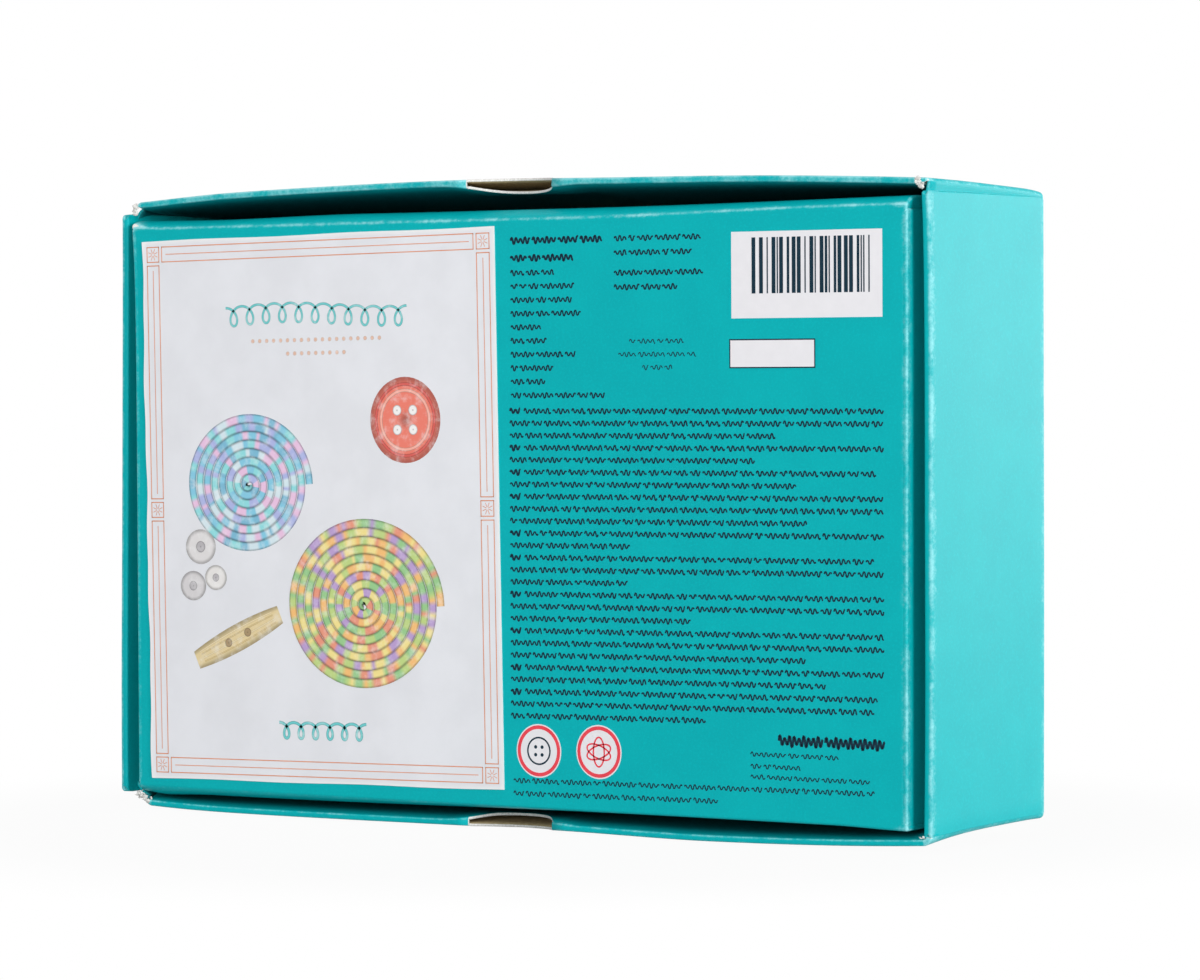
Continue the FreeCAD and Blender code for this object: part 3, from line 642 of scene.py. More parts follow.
def lid_settle(carton, points, depth):
    """The lid as it has settled.

    At the rim its left wall leans out toward the floor, by a soft step down it, and its right wall leans in at
    the top, by a falling exponential of the distance from the top. The right wall also bulges between its ends,
    by one less the sixth power of the place along it.
    """
    reach = LID_HIGH[1] - FACE[1]
    x, z = points[..., 0], points[..., 2]
    low = smooth(LID_HIGH[2] - z, 0, LID_HIGH[2] - LID_LOW[2])
    points[..., 0] -= carton.open_wall * low * smooth(-x, 95 * MM, 113 * MM) * depth / reach
    high = np.exp(-np.abs(LID_HIGH[2] - z) / (11 * MM))
    points[..., 0] -= carton.lean_in * high * smooth(x, 95 * MM, 110 * MM) * (depth / reach) ** 2
    t = np.clip((LID_HIGH[2] - z) / (LID_HIGH[2] - LID_LOW[2]), 0, 1)
    out = carton.full * (1 - 0.6 * smooth(t, 0.6, 1.0)) + carton.bulge * (1 - (2 * t - 1) ** 6) * depth / reach
    points[..., 0] += out * smooth(x, 100 * MM, 113 * MM)
    return points


def ring(form, carton, columns, f, inset):
    """Cross-section points (x, z) of a carton's folded sheet, moved in by inset; each column has its own rule.

    Kind 0 is the upper wall (s from -1 to 1 across), 1 the right upper fold (s is the angle), 2 the right
    side (s from 0 at the top to 1), 3 the right lower fold; 4 to 7 mirror them through the centre. Each fold is
    a quarter circle about its own hub. The left folds are tucked in at the rim. The columns of a long wall are
    moved along by its notch's place, times one less the square of s. Away from the folds the sides step in by
    one board, behind the end walls, but not inside the panel.
    """
    kind, s = columns
    side = form.half
    tuck = {k: amount * f ** 5 for k, amount in form.tuck.items()}
    step = carton.board * smooth(s, 0.0, 0.02) * smooth(-s, -1.0, -0.98) * (1 - smooth(inset, 2 * MM, 5 * MM))
    hub = {k: np.maximum(form.corner + (rim - form.corner) * f ** 1.5, inset)
           for k, rim in form.rim_corners.items()}
    r = {k: size - inset for k, size in hub.items()}
    x1, x3, x5, x7 = side - hub[1], side - hub[3], side - hub[5] - tuck[5], side - hub[7] - tuck[7]
    z1 = form.top + form.rise(carton, 0, x1, f) - hub[1]
    z3 = form.bottom - form.rise(carton, 1, x3, f) + hub[3]
    z5 = form.bottom - form.rise(carton, 1, -x5, f) + hub[5]
    z7 = form.top + form.rise(carton, 0, -x7, f) - hub[7]
    sin, cos = np.sin(s), np.cos(s)
    moved = (1 - s ** 2) * smooth(f, 0, 0.3)
    upper_x = s * np.where(s < 0, x7, x1) + form.places[0] * moved
    lower_x = -s * np.where(s < 0, x3, x5) + form.places[1] * moved
    rules = [kind == k for k in range(8)]
    x = np.select(rules, [
        upper_x, x1 + r[1] * sin, side - inset - step, x3 + r[3] * cos,
        lower_x, -x5 - r[5] * sin, inset - side + step + tuck[5] * (1 - s) ** 80 + tuck[7] * s ** 80,
        -x7 - r[7] * cos])
    z = np.select(rules, [
        form.top + form.rise(carton, 0, upper_x, f) - inset, z1 + r[1] * cos, z1 + (z3 - z1) * s,
        z3 - r[3] * sin, form.bottom - form.rise(carton, 1, lower_x, f) + inset, z5 - r[5] * cos,
        z5 + (z7 - z5) * s, z7 + r[7] * sin])
    return x, z


# Finishes of a carton sheet's faces: 0 is the coated front, TAB is coated on both sides, INNER an inner board,
# whose print carries painted shade behind the rim.
TAB, INNER = 3, 6
# Angles of the columns in a fold, and how far the middle of a fold is from its square's corner, in radii.
FOLD_TURN = np.linspace(0, np.pi / 2, 8)[1:-1]
MID_FOLD = 0.29


def notch_edge(form, carton):
    """Where the thumb notch ends across a long wall, as a share of its half width."""
    return carton.notch_half / (form.half - carton.rim_corner)


def wall_spots(form, carton):
    """Places across a long wall, -1 to 1: even steps, with steps by the sine across the thumb notch."""
    edge = notch_edge(form, carton)
    side = np.linspace(edge, 1, 30)[1:]
    return np.concatenate([-side[::-1], edge * np.sin(np.linspace(-np.pi / 2, np.pi / 2, 25)), side])


def notch_cut(form, carton, x):
    """Depth of the thumb notch at x: a circle's arc through the notch's ends and its deepest point."""
    if not form.notch:
        return np.zeros_like(x)
    radius = (carton.notch_half ** 2 + form.notch ** 2) / (2 * form.notch)
    inside = np.clip(radius ** 2 - x ** 2, 0, None)
    return np.where(np.abs(x) < carton.notch_half, np.clip(np.sqrt(inside) - radius + form.notch, 0, None), 0)


def shell_columns(form, carton):
    """Columns all round the sheet: upper wall, fold, side, fold, lower wall, fold, side, fold."""
    down = 0.5 - 0.5 * np.cos(np.linspace(0, np.pi, 40))
    runs = [wall_spots(form, carton), FOLD_TURN, down, FOLD_TURN] * 2
    return np.repeat(range(len(runs)), [len(run) for run in runs]), np.concatenate(runs)


def line_wear(distance, width, strength):
    """Wear along a line: strength times the bell curve of distance over width."""
    return strength * np.exp(-(distance / width) ** 2)


def worn_corner(form, x, z, depth):
    """Wear at the panel's corners: bell curves of the distance, by far the strongest at the upper left."""
    wear = 0
    corners = ((-1, 1, 1.2, 1.1), (1, 1, 0.2, 1.2), (-1, -1, 0.1, 1.2), (1, -1, 0.4, 1.5))
    for side, up, strength, size in corners:
        dx = x - side * form.half
        dz = z - (form.top if up > 0 else form.bottom)
        wear = wear + line_wear(np.sqrt(dx ** 2 + dz ** 2 + depth ** 2), size * MM, strength)
    return wear


def shell_point(form, carton, x, z, depth):
    """Row-frame points from cross-section places and the depth behind the panel, settled and rippled."""
    y = form.panel + form.way * depth
    points = form.settle(carton, xyz(FACE[0] + x, y, z), depth)
    points[..., 2] += ripples(points, carton.ripple) * np.clip(depth / (6 * MM), 0, 1)
    return points


def squircle(steps):
    """Half a turn of a rounded square: pairs (along, out), each a cosine or sine to the power 0.6."""
    a = np.linspace(0, np.pi, steps)
    cos = np.sign(np.cos(a)) * np.abs(np.cos(a)) ** 0.6
    return np.stack([(1 - cos) / 2, np.abs(np.sin(a)) ** 0.6], axis=-1)


def wall_thickness(form, carton, wall, x, depth):
    """Long wall's thickness: thin at the rim, full behind it, sprung open at the notch and pinched past it.

    The lower wall thins steadily toward the panel, where it is pressed flat.
    """
    thin, full = form.thick
    back = form.depth - depth
    thickness = thin + (full - thin) * smooth(back, 0, 9 * MM) + 0 * x
    if form.notch:
        beside = np.exp(-(np.clip(np.abs(x) - carton.notch_half, 0, None) / (4 * MM)) ** 2)
        past = smooth(back, form.notch + 1 * MM, form.notch + 8 * MM)
        thickness = thickness + beside * (carton.spring * (1 - past) - carton.pinch * past)
    if wall == 4:
        thickness = np.minimum(thickness, form.pressed + 1.9 * MM * depth / form.depth)
    return thickness


def rolled_runs(form, carton, wall):
    """Columns of a rolled rim from fold to fold: whole, and parted at the thumb notch."""
    spots = wall_spots(form, carton)
    before, after, turns = (wall + 7) % 8, wall + 1, len(FOLD_TURN)
    kind = np.repeat([before, wall, after], [turns, len(spots), turns])
    place = np.concatenate([FOLD_TURN, spots, FOLD_TURN])
    if not form.notch:
        return (kind, place), [(kind, place)]
    edge = notch_edge(form, carton) - 1e-9
    first = (kind == before) | ((kind == wall) & (place <= -edge))
    last = (kind == after) | ((kind == wall) & (place >= edge))
    return (kind, place), [(kind[part], place[part]) for part in (first, last)]


def place_across(form, carton, wall, columns):
    """Places across of a long wall's columns; those of its folds count as its end."""
    kind, s = columns
    return np.where(kind == wall, s, 1) * (form.half - carton.rim_corner)


def outer_boards(work, form, carton, hollow):
    """The panel, from its middle line out, then the folds, then the walls up to the rim or the thumb notch.

    A fold is a quarter circle in depth and inset, and a wall's rows lie at the 1.7th power of even steps. Behind
    the thumb notch the wall springs out by a falling exponential of the distance to the notch. Wear lies along
    folds and edges by bell curves.
    """
    kind, s = columns = shell_columns(form, carton)
    long_wall = kind % 4 == 0
    cut = notch_cut(form, carton, s * (form.half - carton.rim_corner)) * long_wall
    short = np.select([kind == 2, kind == 6], [0.5 * MM, carton.side_step], np.maximum(cut, carton.roll))
    end = form.depth - short
    height, steps = (form.top - form.bottom) / 2, 26
    out = np.array([1, 0.8, 0.55, 0.3, 0.12, 0.08, 0.05, 0.03, 0.015, 0.006])
    across = form.fold + (height - form.fold) * out
    angle = np.linspace(0, np.pi / 2, 9)
    inset = np.concatenate([across, form.fold * (1 - np.sin(angle)), np.zeros(steps)])[:, None]
    flat = np.zeros((len(across), len(kind)))
    fold = np.repeat((form.fold * (1 - np.cos(angle)))[:, None], len(kind), axis=1)
    wall = form.fold + (end - form.fold) * np.linspace(0, 1, steps + 1)[1:, None] ** 1.7
    depth = np.concatenate([flat, fold, wall])
    x, z = ring(form, carton, columns, depth / form.depth, inset)
    sprung = cut / carton.notch_depth * np.exp((depth - end) / (9 * MM)) * smooth(depth, 0, 15 * MM)
    z = z + carton.notch_lift * sprung * np.where(kind == 0, 1, -1)
    away = np.hypot(inset - MID_FOLD * form.fold, depth - MID_FOLD * form.fold)
    narrow = np.array([0.34, 0.2, 0.08, 0.12, 0.08, 0.05, 0.32, 0.4])[kind]
    broad = np.array([0.1, 0.14, 0.17, 0.15, 0.04, 0.04, 0.1, 0.15])[kind]
    wear = line_wear(away, 0.26 * MM, narrow) + line_wear(away, 1.1 * MM, broad)
    wear = wear + worn_corner(form, x, z, depth)
    wear = wear + 0.2 * ((kind % 2 == 1) & (depth > 2 * form.fold)) + line_wear(end - depth, 0.35 * MM, 0.22)
    in_wall = np.arange(len(inset) - 1) >= len(across) + len(angle) - 1
    work.add(shell_point(form, carton, x, z, depth), away=hollow, wrap=(False, True), wear=wear,
             finish=np.where(in_wall[:, None] & ~long_wall, TAB, 0).ravel())


def rolled_rim(work, form, carton, wall, columns, hollow):
    """One run of a long wall's rim, rolled from the outer board to the inner one by half a rounded square."""
    kind, s = columns
    roll = squircle(15)
    thick = wall_thickness(form, carton, wall, place_across(form, carton, wall, columns), form.depth)
    depth = np.repeat(form.depth - carton.roll + carton.roll * roll[:, 1:], len(s), axis=1)
    x, z = ring(form, carton, columns, depth / form.depth, roll[:, :1] * thick)
    # The whole upper roll is paler than the lower one: partly rubbed print, partly a painted highlight where it
    # faces the light from above.
    whole, outer, inner = (0.02, 0.2, 0.3) if wall else (0.25, 0.35, 0.1)
    wear = whole + line_wear(roll[:, :1] - 0.08, 0.16, outer) + line_wear(roll[:, :1] - 0.85, 0.14, inner)
    points = shell_point(form, carton, x, z, depth)
    level = points[len(roll) // 2, :, 2].mean()
    work.add(points, away=(FACE[0], hollow[1], level), wear=wear + 0.3 * (kind != wall))


def inner_wall(work, form, carton, wall, columns, hollow):
    """The inner board of a long wall, from the rim or the thumb notch to just short of the panel.

    It is the outer board moved in by the wall's thickness, with rows at the 1.6th power of even steps.
    """
    across = place_across(form, carton, wall, columns)
    start = form.depth - np.maximum(notch_cut(form, carton, across), carton.roll)
    end = 2.6 * MM
    depth = start + (end - start) * np.linspace(0, 1, 22)[:, None] ** 1.6
    inset = wall_thickness(form, carton, wall, across, depth)
    x, z = ring(form, carton, columns, depth / form.depth, inset)
    work.add(shell_point(form, carton, x, z, depth), toward=hollow, wear=line_wear(start - depth, 0.4 * MM, 0.2),
             finish=INNER if form.notch else 0)


def carton_sheet(form, carton):
    """The folded sheet of one carton half: panel, folds, outer boards, rolled rims and inner boards."""
    work = Patchwork()
    hollow = (FACE[0], form.panel + form.way * form.depth / 2, FACE[2])
    outer_boards(work, form, carton, hollow)
    for wall in (0, 4):
        whole, parts = rolled_runs(form, carton, wall)
        for part in parts:
            rolled_rim(work, form, carton, wall, part, hollow)
        inner_wall(work, form, carton, wall, whole, hollow)
    return work.mesh("carton_sheet", weld=0.02 * MM)


def end_walls(form, carton):
    """The two end walls: flat double boards, folded at the panel and rolled at the rim, with eased ends.

    A closed outline in depth and inset is carried up the wall. At both ends it rounds over by a quarter
    circle and then shrinks onto its middle plane; at the rim and the panel the ends draw in along circles.
    """
    work = Patchwork()
    radius, thick, ease = carton.end_fold, carton.end_wall, 0.45 * MM
    half_wall, rim = thick / 2, form.depth - carton.roll
    angle, roll = np.linspace(0, np.pi / 2, 9), squircle(15)[1:-1]
    run = np.linspace(0, 1, 30)[1:]
    going = np.concatenate([radius * (1 - np.cos(angle)), radius + (rim - radius) * run])
    depth = np.concatenate([going, rim + carton.roll * roll[:, 1], going[::-1]])
    inset = [radius * (1 - np.sin(angle)), np.zeros_like(run), thick * roll[:, 0], np.full_like(going, thick)]
    inset = np.concatenate(inset)
    flat_depth = np.minimum(depth, rim)
    turn, body = np.linspace(0, np.pi / 2, 6)[1:], np.linspace(-1, 1, 44)
    cap_scale = np.append(1 - ease / half_wall * (1 - np.cos(turn)), 0.0)
    cap_out = np.append(ease * np.sin(turn), ease)
    scale = np.concatenate([cap_scale[::-1], np.ones_like(body), cap_scale])
    place = np.concatenate([-np.ones_like(cap_out), body, np.ones_like(cap_out)])
    out = np.concatenate([-cap_out[::-1], np.zeros_like(body), cap_out])
    near_fold = np.clip(1 - depth / form.end_round, 0, 1)
    deep = flat_depth[:, None] + (depth - flat_depth)[:, None] * scale + 0.02 * MM
    inward = half_wall + (inset - half_wall)[:, None] * scale
    fold = np.hypot(inset - MID_FOLD * radius, depth - MID_FOLD * radius)[:, None]
    outer_edge = line_wear(inset - 0.1 * thick, 0.3 * MM, 0.12) * (depth > rim) \
        + line_wear(form.depth - depth, 1.5 * MM, 0.27) * (inset < 0.3 * thick)
    for side in (-1, 1):
        high, low = form.ends[side]
        tongue = carton.tongue * (1.0 if side > 0 else 1.5)
        near_rim = np.clip((depth - form.depth) / tongue + 1, 0, 1)
        shrink = tongue * (1 - np.sqrt(1 - near_rim ** 2)) + form.end_round * (1 - np.sqrt(1 - near_fold ** 2))
        z = (high + low) / 2 + place * ((high - low) / 2 - ease - shrink[:, None]) + out
        z = z - form.follow[side] * (depth[:, None] / form.depth) ** 2 * (0.5 - 0.5 * place)
        x = side * (form.half - inward)
        points = shell_point(form, carton, x, z, deep)
        flat = np.clip((depth - radius) / (5 * MM), 0, 1)[:, None] * scale
        points[..., 0] += side * ripples(points, carton.ripple) * flat
        wear = line_wear(fold, 0.4 * MM, 0.14) + line_wear(fold, 1.2 * MM, 0.15 if side > 0 else 0.08)
        wear = wear + outer_edge[:, None] + worn_corner(form, x, z, deep) + line_wear(0.7 - scale, 0.25, 0.28)
        core = (FACE[0] + side * (form.half - half_wall), form.panel + form.way * form.depth / 2, FACE[2])
        work.add(points, away=core, wrap=(True, False), wear=wear)
    return work.mesh("end_walls", weld=0.01 * MM)


def lump(work, centre, size, rng):
    """A torn pad of paper fibre: a ball drawn out three ways, its radius varied by sines of random phase."""
    lat = np.linspace(0, np.pi, 11)[:, None]
    lon = around(14)[None, :]
    phase, level = rng.uniform(0, 6.28, 4), np.sin(lat)
    radius = 1 + 0.2 * np.sin(3 * lon + phase[0]) * level + 0.16 * np.sin(5 * lat + phase[1]) * level \
        + 0.12 * np.sin(4 * lat + 5 * lon + phase[2]) * level
    ball = xyz(level * np.cos(lon), level * np.sin(lon), np.cos(lat)) * radius[..., None]
    work.add(centre + ball * size, away=centre, wrap=(False, True))


def corner_fray(form, rng):
    """Torn paper at the rim's corners: lumps of fibre, and flakes bent by the difference of two squares."""
    work = Patchwork()
    rim = form.panel + form.way * form.depth
    u, v = np.meshgrid(np.linspace(-1, 1, 5), np.linspace(-1, 1, 5), indexing="ij")
    top, bottom = BASE_HIGH[2], BASE_LOW[2]
    corners = (
        (-109.5, top + 3.4 * MM, (0.8, 0.5, 0.75), (0.2, 0, -0.9), 12),
        (-108.3, bottom - 1.9 * MM, (0.9, 0.6, 0.8), (1.3, 0, -0.85), 14),
        (111.9, top + 4.5 * MM, (0.95, 0.5, 0.85), (0.3, 0, -0.8), 14),
        (111.9, bottom - 1.1 * MM, (0.4, 0.2, 0.14), (0.3, 0, 0.08), 3))
    for across, level, size, slant, flakes in corners:
        spot = np.array([FACE[0] + across * MM, rim - 0.1 * MM, level])
        spread, slant = np.array(size) * MM, np.array(slant) * MM
        for along in (-1, -0.3, 0.35, 1):
            lump(work, spot + along * slant + rng.uniform(-0.3, 0.3, 3) * spread, 0.7 * spread, rng)
        for _ in range(flakes):
            centre = spot + rng.uniform(-1.1, 1.1) * slant + rng.uniform(-0.9, 0.9, 3) * spread
            first, second = rng.normal(size=3), rng.normal(size=3)
            first /= np.linalg.norm(first)
            second -= first * (first @ second)
            second /= np.linalg.norm(second)
            bend = np.cross(first, second) * rng.uniform(0.05, 0.2) * MM
            ragged = 1 + 0.2 * rng.normal(size=u.shape)
            wide, tall = rng.uniform(0.15, 0.42, 2) * MM
            flake = centre + (u * ragged * wide)[..., None] * first + (v * ragged * tall)[..., None] * second \
                + (u ** 2 - v ** 2)[..., None] * bend
            work.add(flake, facing=np.cross(first, second))
    return work.mesh("corner_fray", weld=WELD / 10)


# --- print on the face and the label ------------------------------------------------------------------------
# Places and sizes of the print are in millimetres, from the middle of what carries it.


def metres(x, z):
    """Places across and up, as arrays of one shape, turned from millimetres into metres."""
    x, z = np.broadcast_arrays(np.asarray(x, float), np.asarray(z, float))
    return x * MM, z * MM


def on_face(out):
    """Gives the points of places on the base's face, standing out by out."""
    def put(x, z):
        x, z = metres(x, z)
        return xyz(FACE[0] + x, FACE[1] - out * MM, FACE[2] + z)

    return put


def on_label(ink, out):
    """Gives the points of places on the label, turned with it and standing out by out.

    The outermost millimetre of its left edge stands off a little, by a square and a sine along it.
    """
    middle = (LABEL_LOW + LABEL_HIGH) / 2
    cos, sin = math.cos(ink.label_turn), math.sin(ink.label_turn)

    def put(x, z):
        x, z = metres(x, z)
        edge = np.clip(1 - (x + ink.label_width / 2) / MM, 0, 1) ** 2
        y = LABEL_LOW[1] - 0.12 * MM * edge * (0.6 + 0.4 * np.sin(z * 95 + 0.4)) - out * MM
        return xyz(middle[0] + x * cos - z * sin, y, middle[2] + x * sin + z * cos)

    return put


def bar(work, put, x, z, long, height, turn=0.0, **look):
    """A bar with round ends about (x, z): half its height falls along a circle at the ends."""
    r = min(height, long) / 2
    ease = np.array([1.0, 0.8, 0.45, 0.0])
    along = np.concatenate([-long / 2 + r * (1 - ease), long / 2 - r * (1 - ease[::-1])])
    half = height / 2 * np.sqrt(1 - np.concatenate([ease, ease[::-1]]) ** 2 * 0.9)
    du, dv = turned(np.stack([along, along]), np.stack([-half, half]), turn)
    work.add(put(x + du, z + dv), **look)


def turned(u, v, turn):
    """A place turned about the origin by an angle."""
    return u * math.cos(turn) - v * math.sin(turn), u * math.sin(turn) + v * math.cos(turn)


def plate(work, put, x, z, width, height, **look):
    """A flat rectangle about (x, z)."""
    u, v = np.meshgrid([-width / 2, width / 2], [-height / 2, height / 2])
    work.add(put(x + u, z + v), **look)


def disc(work, put, x, z, outer, inner=0.0, squash=1.0, **look):
    """A disc or a ring about (x, z): polar grid from the inner to the outer radius."""
    a, r = around(48), np.linspace(inner, outer, 4 if inner else 6)[:, None]
    work.add(put(x + r * np.cos(a), z + squash * r * np.sin(a)), wrap=(False, True), **look)


def stroke(work, put, x, z, width, **look):
    """A ribbon of the given width along a line of points: each point is moved both ways along its normal."""
    dx, dz = np.gradient(x), np.gradient(z)
    size = np.hypot(dx, dz) + 1e-9
    side = np.array([-0.5, 0.5])[:, None] * width
    work.add(put(x - side * dz / size, z + side * dx / size), **look)


def word_lengths(rng, total, letter):
    """Starts and lengths of words that fill a line, from a spread of word sizes, with spaces between them."""
    words, left, space = [], total, 0.62
    while left > 2.2 * letter:
        size = min(letter * rng.choice([2, 3, 4, 5, 6, 7, 8, 9, 10]), left)
        words.append((total - left, size))
        left -= size + space
    return words


def scribble(work, put, rng, x, z, size, height, line, **look):
    """A word-like squiggle that spells nothing: a steepened sine wave whose height swells and shrinks."""
    waves = max(1.0, size / 1.25)
    t = np.linspace(0, 1, int(waves * 8) + 2)
    tall = 1 + 0.35 * np.sin(2 * np.pi * (waves * 0.37 * t + rng.uniform()))
    wave = np.tanh(1.6 * np.sin(2 * np.pi * waves * t))
    stroke(work, put, x + size * t, z + 0.5 * (height - line) * tall * wave, line, **look)


def text_line(work, put, rng, x, z, width, height, line=0.25, letter=0.93, **look):
    """One text line as squiggles from x on. z is a number or a function of the place across."""
    for start, size in word_lengths(rng, width, letter):
        level = z(x + start + size / 2) if callable(z) else z
        scribble(work, put, rng, x + start, level, size, height, line, **look)


def face_text(ink, rng):
    """Text blocks of the face as squiggles.

    Two short columns, ten paragraphs, a small block and two closing lines. The lower lines climb toward the
    right, as the face does.
    """
    work, put = Patchwork(), on_face(0.02)
    tall, pitch, heavy, light = ink.bar_height / MM, ink.line_pitch / MM, 0.52, 0.38

    def column(x, rows, *look):
        for z, width in rows:
            text_line(work, put, rng, x, z, width, *look)

    # names column: two heavy lines, then single words
    column(3.3, ((63.2, 25.5), (59.1, 17.5)), 1.75, heavy, 1.1)
    names = enumerate((12, 19, 17, 19.5, 11, 10.5, 18, 12, 9.5, 26))
    column(3.3, [(55.7 - 3.16 * row, width) for row, width in names], tall, light)
    column(32.1, ((63.2, 23.5), (59.9, 21), (55.3, 24), (52.0, 17)), tall, light, 0.85)
    for z, width in ((39.6, 15), (36.6, 21), (33.6, 8)):
        column(43.7 - width / 2, ((z, width),), 1.1, 0.24, 0.8)
    # paragraphs: the first word of each is heavy, the last line is short
    z = first = 23.6
    for lines in (3, 2, 2, 3, 2, 3, 3, 3, 2, 3):
        for line in range(lines):
            def level(x, z=z):
                return z + 1.35 * (x / 102) * (first - z) / 68

            start, width = 2.9, 100.2 if line < lines - 1 else rng.uniform(30, 92)
            if line == 0:
                scribble(work, put, rng, start, z, 2.9, 1.6, heavy)
                start, width = start + 4.0, width - 4.0
            text_line(work, put, rng, start, level, width, tall, light)
            z -= pitch
    column(75.8, ((-50.4, 27.5),), 2.7, 0.6, 2.3)
    column(68.4, ((-53.7, 23), (-56.4, 13), (-58.8, 31)), 1.1, 0.28)
    for z, width in ((-62.5, 98.8), (-65.5, 56)):
        text_line(work, put, rng, 3.5, lambda x, z=z: z + 0.012 * x, width, 1.25, 0.3)
    return work


def code_panel(paper, bars, rng):
    """White panels and, over one, upright bars of uneven width that encode nothing."""
    put, over, widths = on_face(0.02), on_face(0.05), [0.33, 0.33, 0.66, 0.99]
    plate(paper, put, 83.35, 54.3, 39.3, 19.5)
    plate(bars, put, 74.4, 36.6, 22.6, 6.6)
    plate(paper, over, 74.4, 36.6, 22.0, 6.0)
    x = 69.1
    while x < 100.2:
        wide = rng.choice(widths)
        plate(bars, over, x + wide / 2, 56.4, wide, 12.6)
        x += wide + rng.choice(widths)


def roundels(paper, rings, lines):
    """Two round marks with a red ring: one holds a four-hole button, the other a skein's crossed threads."""
    put, over = on_face(0.02), on_face(0.05)
    button, skein_mark = (10.6, -55.3), (27.3, -54.9)
    for place in (button, skein_mark):
        disc(paper, put, *place, 6.25)
        disc(rings, over, *place, 5.95, 5.1)
    disc(lines, over, *button, 3.3, 2.9)
    for dx in (-0.9, 0.9):
        for dz in (-0.9, 0.9):
            disc(lines, over, button[0] + dx, button[1] + dz, 0.42)
    a = np.linspace(0, 2 * np.pi, 61)
    for turn in (0.35, -0.35, 1.57):
        du, dv = turned(3.4 * np.cos(a), 1.5 * np.sin(a), turn)
        stroke(rings, over, skein_mark[0] + du, skein_mark[1] + dv, 0.38)


def label_frame(ink):
    """Border of the label: thin rules in long boxes, with small starred squares at corners and half way."""
    work, put = Patchwork(), on_label(ink, 0.02)

    def box(x, z, width, height, line=0.25):
        for up in (-1, 1):
            bar(work, put, x, z + up * (height - line) / 2, width, line)
            bar(work, put, x + up * (width - line) / 2, z, height, line, turn=math.pi / 2)

    margin, square, gap, rule = 1.35, 3.9, 0.65, 0.2
    half_w, half_h = ink.label_width / MM / 2 - margin, ink.label_height / MM / 2 - margin
    cx, cz = half_w - square / 2, half_h - square / 2
    tall = (2 * half_h - 3 * square - 4 * gap) / 2
    wide = 2 * half_w - 2 * square - 2 * gap
    for x in (-cx, cx):
        for z in (-cz, 0, cz):
            box(x, z, square, square)
            for turn in (np.arange(8) + 0.5) * math.pi / 4:
                bar(work, put, x + 0.9 * math.cos(turn), z + 0.9 * math.sin(turn), 1.15, 0.16, turn=turn)
        for side in (-1, 1):
            middle = side * (square / 2 + gap + tall / 2)
            box(x, middle, square, tall)
            bar(work, put, x, middle, tall - 2.6, rule, turn=math.pi / 2)
    for z in (-cz, cz):
        box(0, z, wide, square)
        bar(work, put, 0, z, wide - 2.6, rule)
    return work


WARM = [(0.95, 0.55, 0.20), (0.33, 0.62, 0.28), (0.52, 0.36, 0.66), (0.93, 0.78, 0.30), (0.85, 0.33, 0.22),
        (0.55, 0.70, 0.25)]
COOL = [(0.25, 0.62, 0.80), (0.86, 0.58, 0.80), (0.30, 0.75, 0.78), (0.45, 0.50, 0.82), (0.70, 0.84, 0.90),
        (0.22, 0.52, 0.70)]
CLAY = [(0.78, 0.76, 0.76), (0.70, 0.68, 0.69), (0.84, 0.82, 0.80)]
WOOD = [(0.80, 0.65, 0.36), (0.74, 0.57, 0.28), (0.87, 0.73, 0.46)]


def coil_mat(work, put, rng, x, z, outer, cord, palette, tilt=0.9):
    """A flat coil of striped cord: a spiral whose radius shrinks by one cord each turn, in stripes of tint."""
    turns = outer / cord - 0.6
    a = np.linspace(0, turns * 2 * np.pi, int(turns * 96))
    r = outer - cord * (a / (2 * np.pi) + 0.5)
    arc = np.concatenate([[0], np.cumsum(np.hypot(np.gradient(r), r * np.gradient(a)))])[:-1]
    tint = np.zeros((len(a), 3))
    step, index = 0.0, 0
    while step < arc[-1]:
        size = rng.uniform(1.2, 3.4)
        tint[(arc >= step) & (arc < step + size)] = palette[index % len(palette)]
        step, index = step + size, index + rng.integers(1, len(palette))
    stroke(work, put, x + r * np.cos(a), z + tilt * r * np.sin(a), cord * 0.93, tint=tint[None])


def looped_cord(work, put, x, z, long, loops, wide, tall, width, ink, arch=0.0):
    """A looped cord from x on: a line with a sine across it and a cosine up it, arched by a slow sine."""
    t = np.linspace(0, 1, 420)
    stroke(work, put, x + long * t + wide * np.sin(2 * loops * np.pi * t),
           z + tall * np.cos(2 * loops * np.pi * t) + arch * np.sin(5 * t), width, tint=tuple(ink.teal))


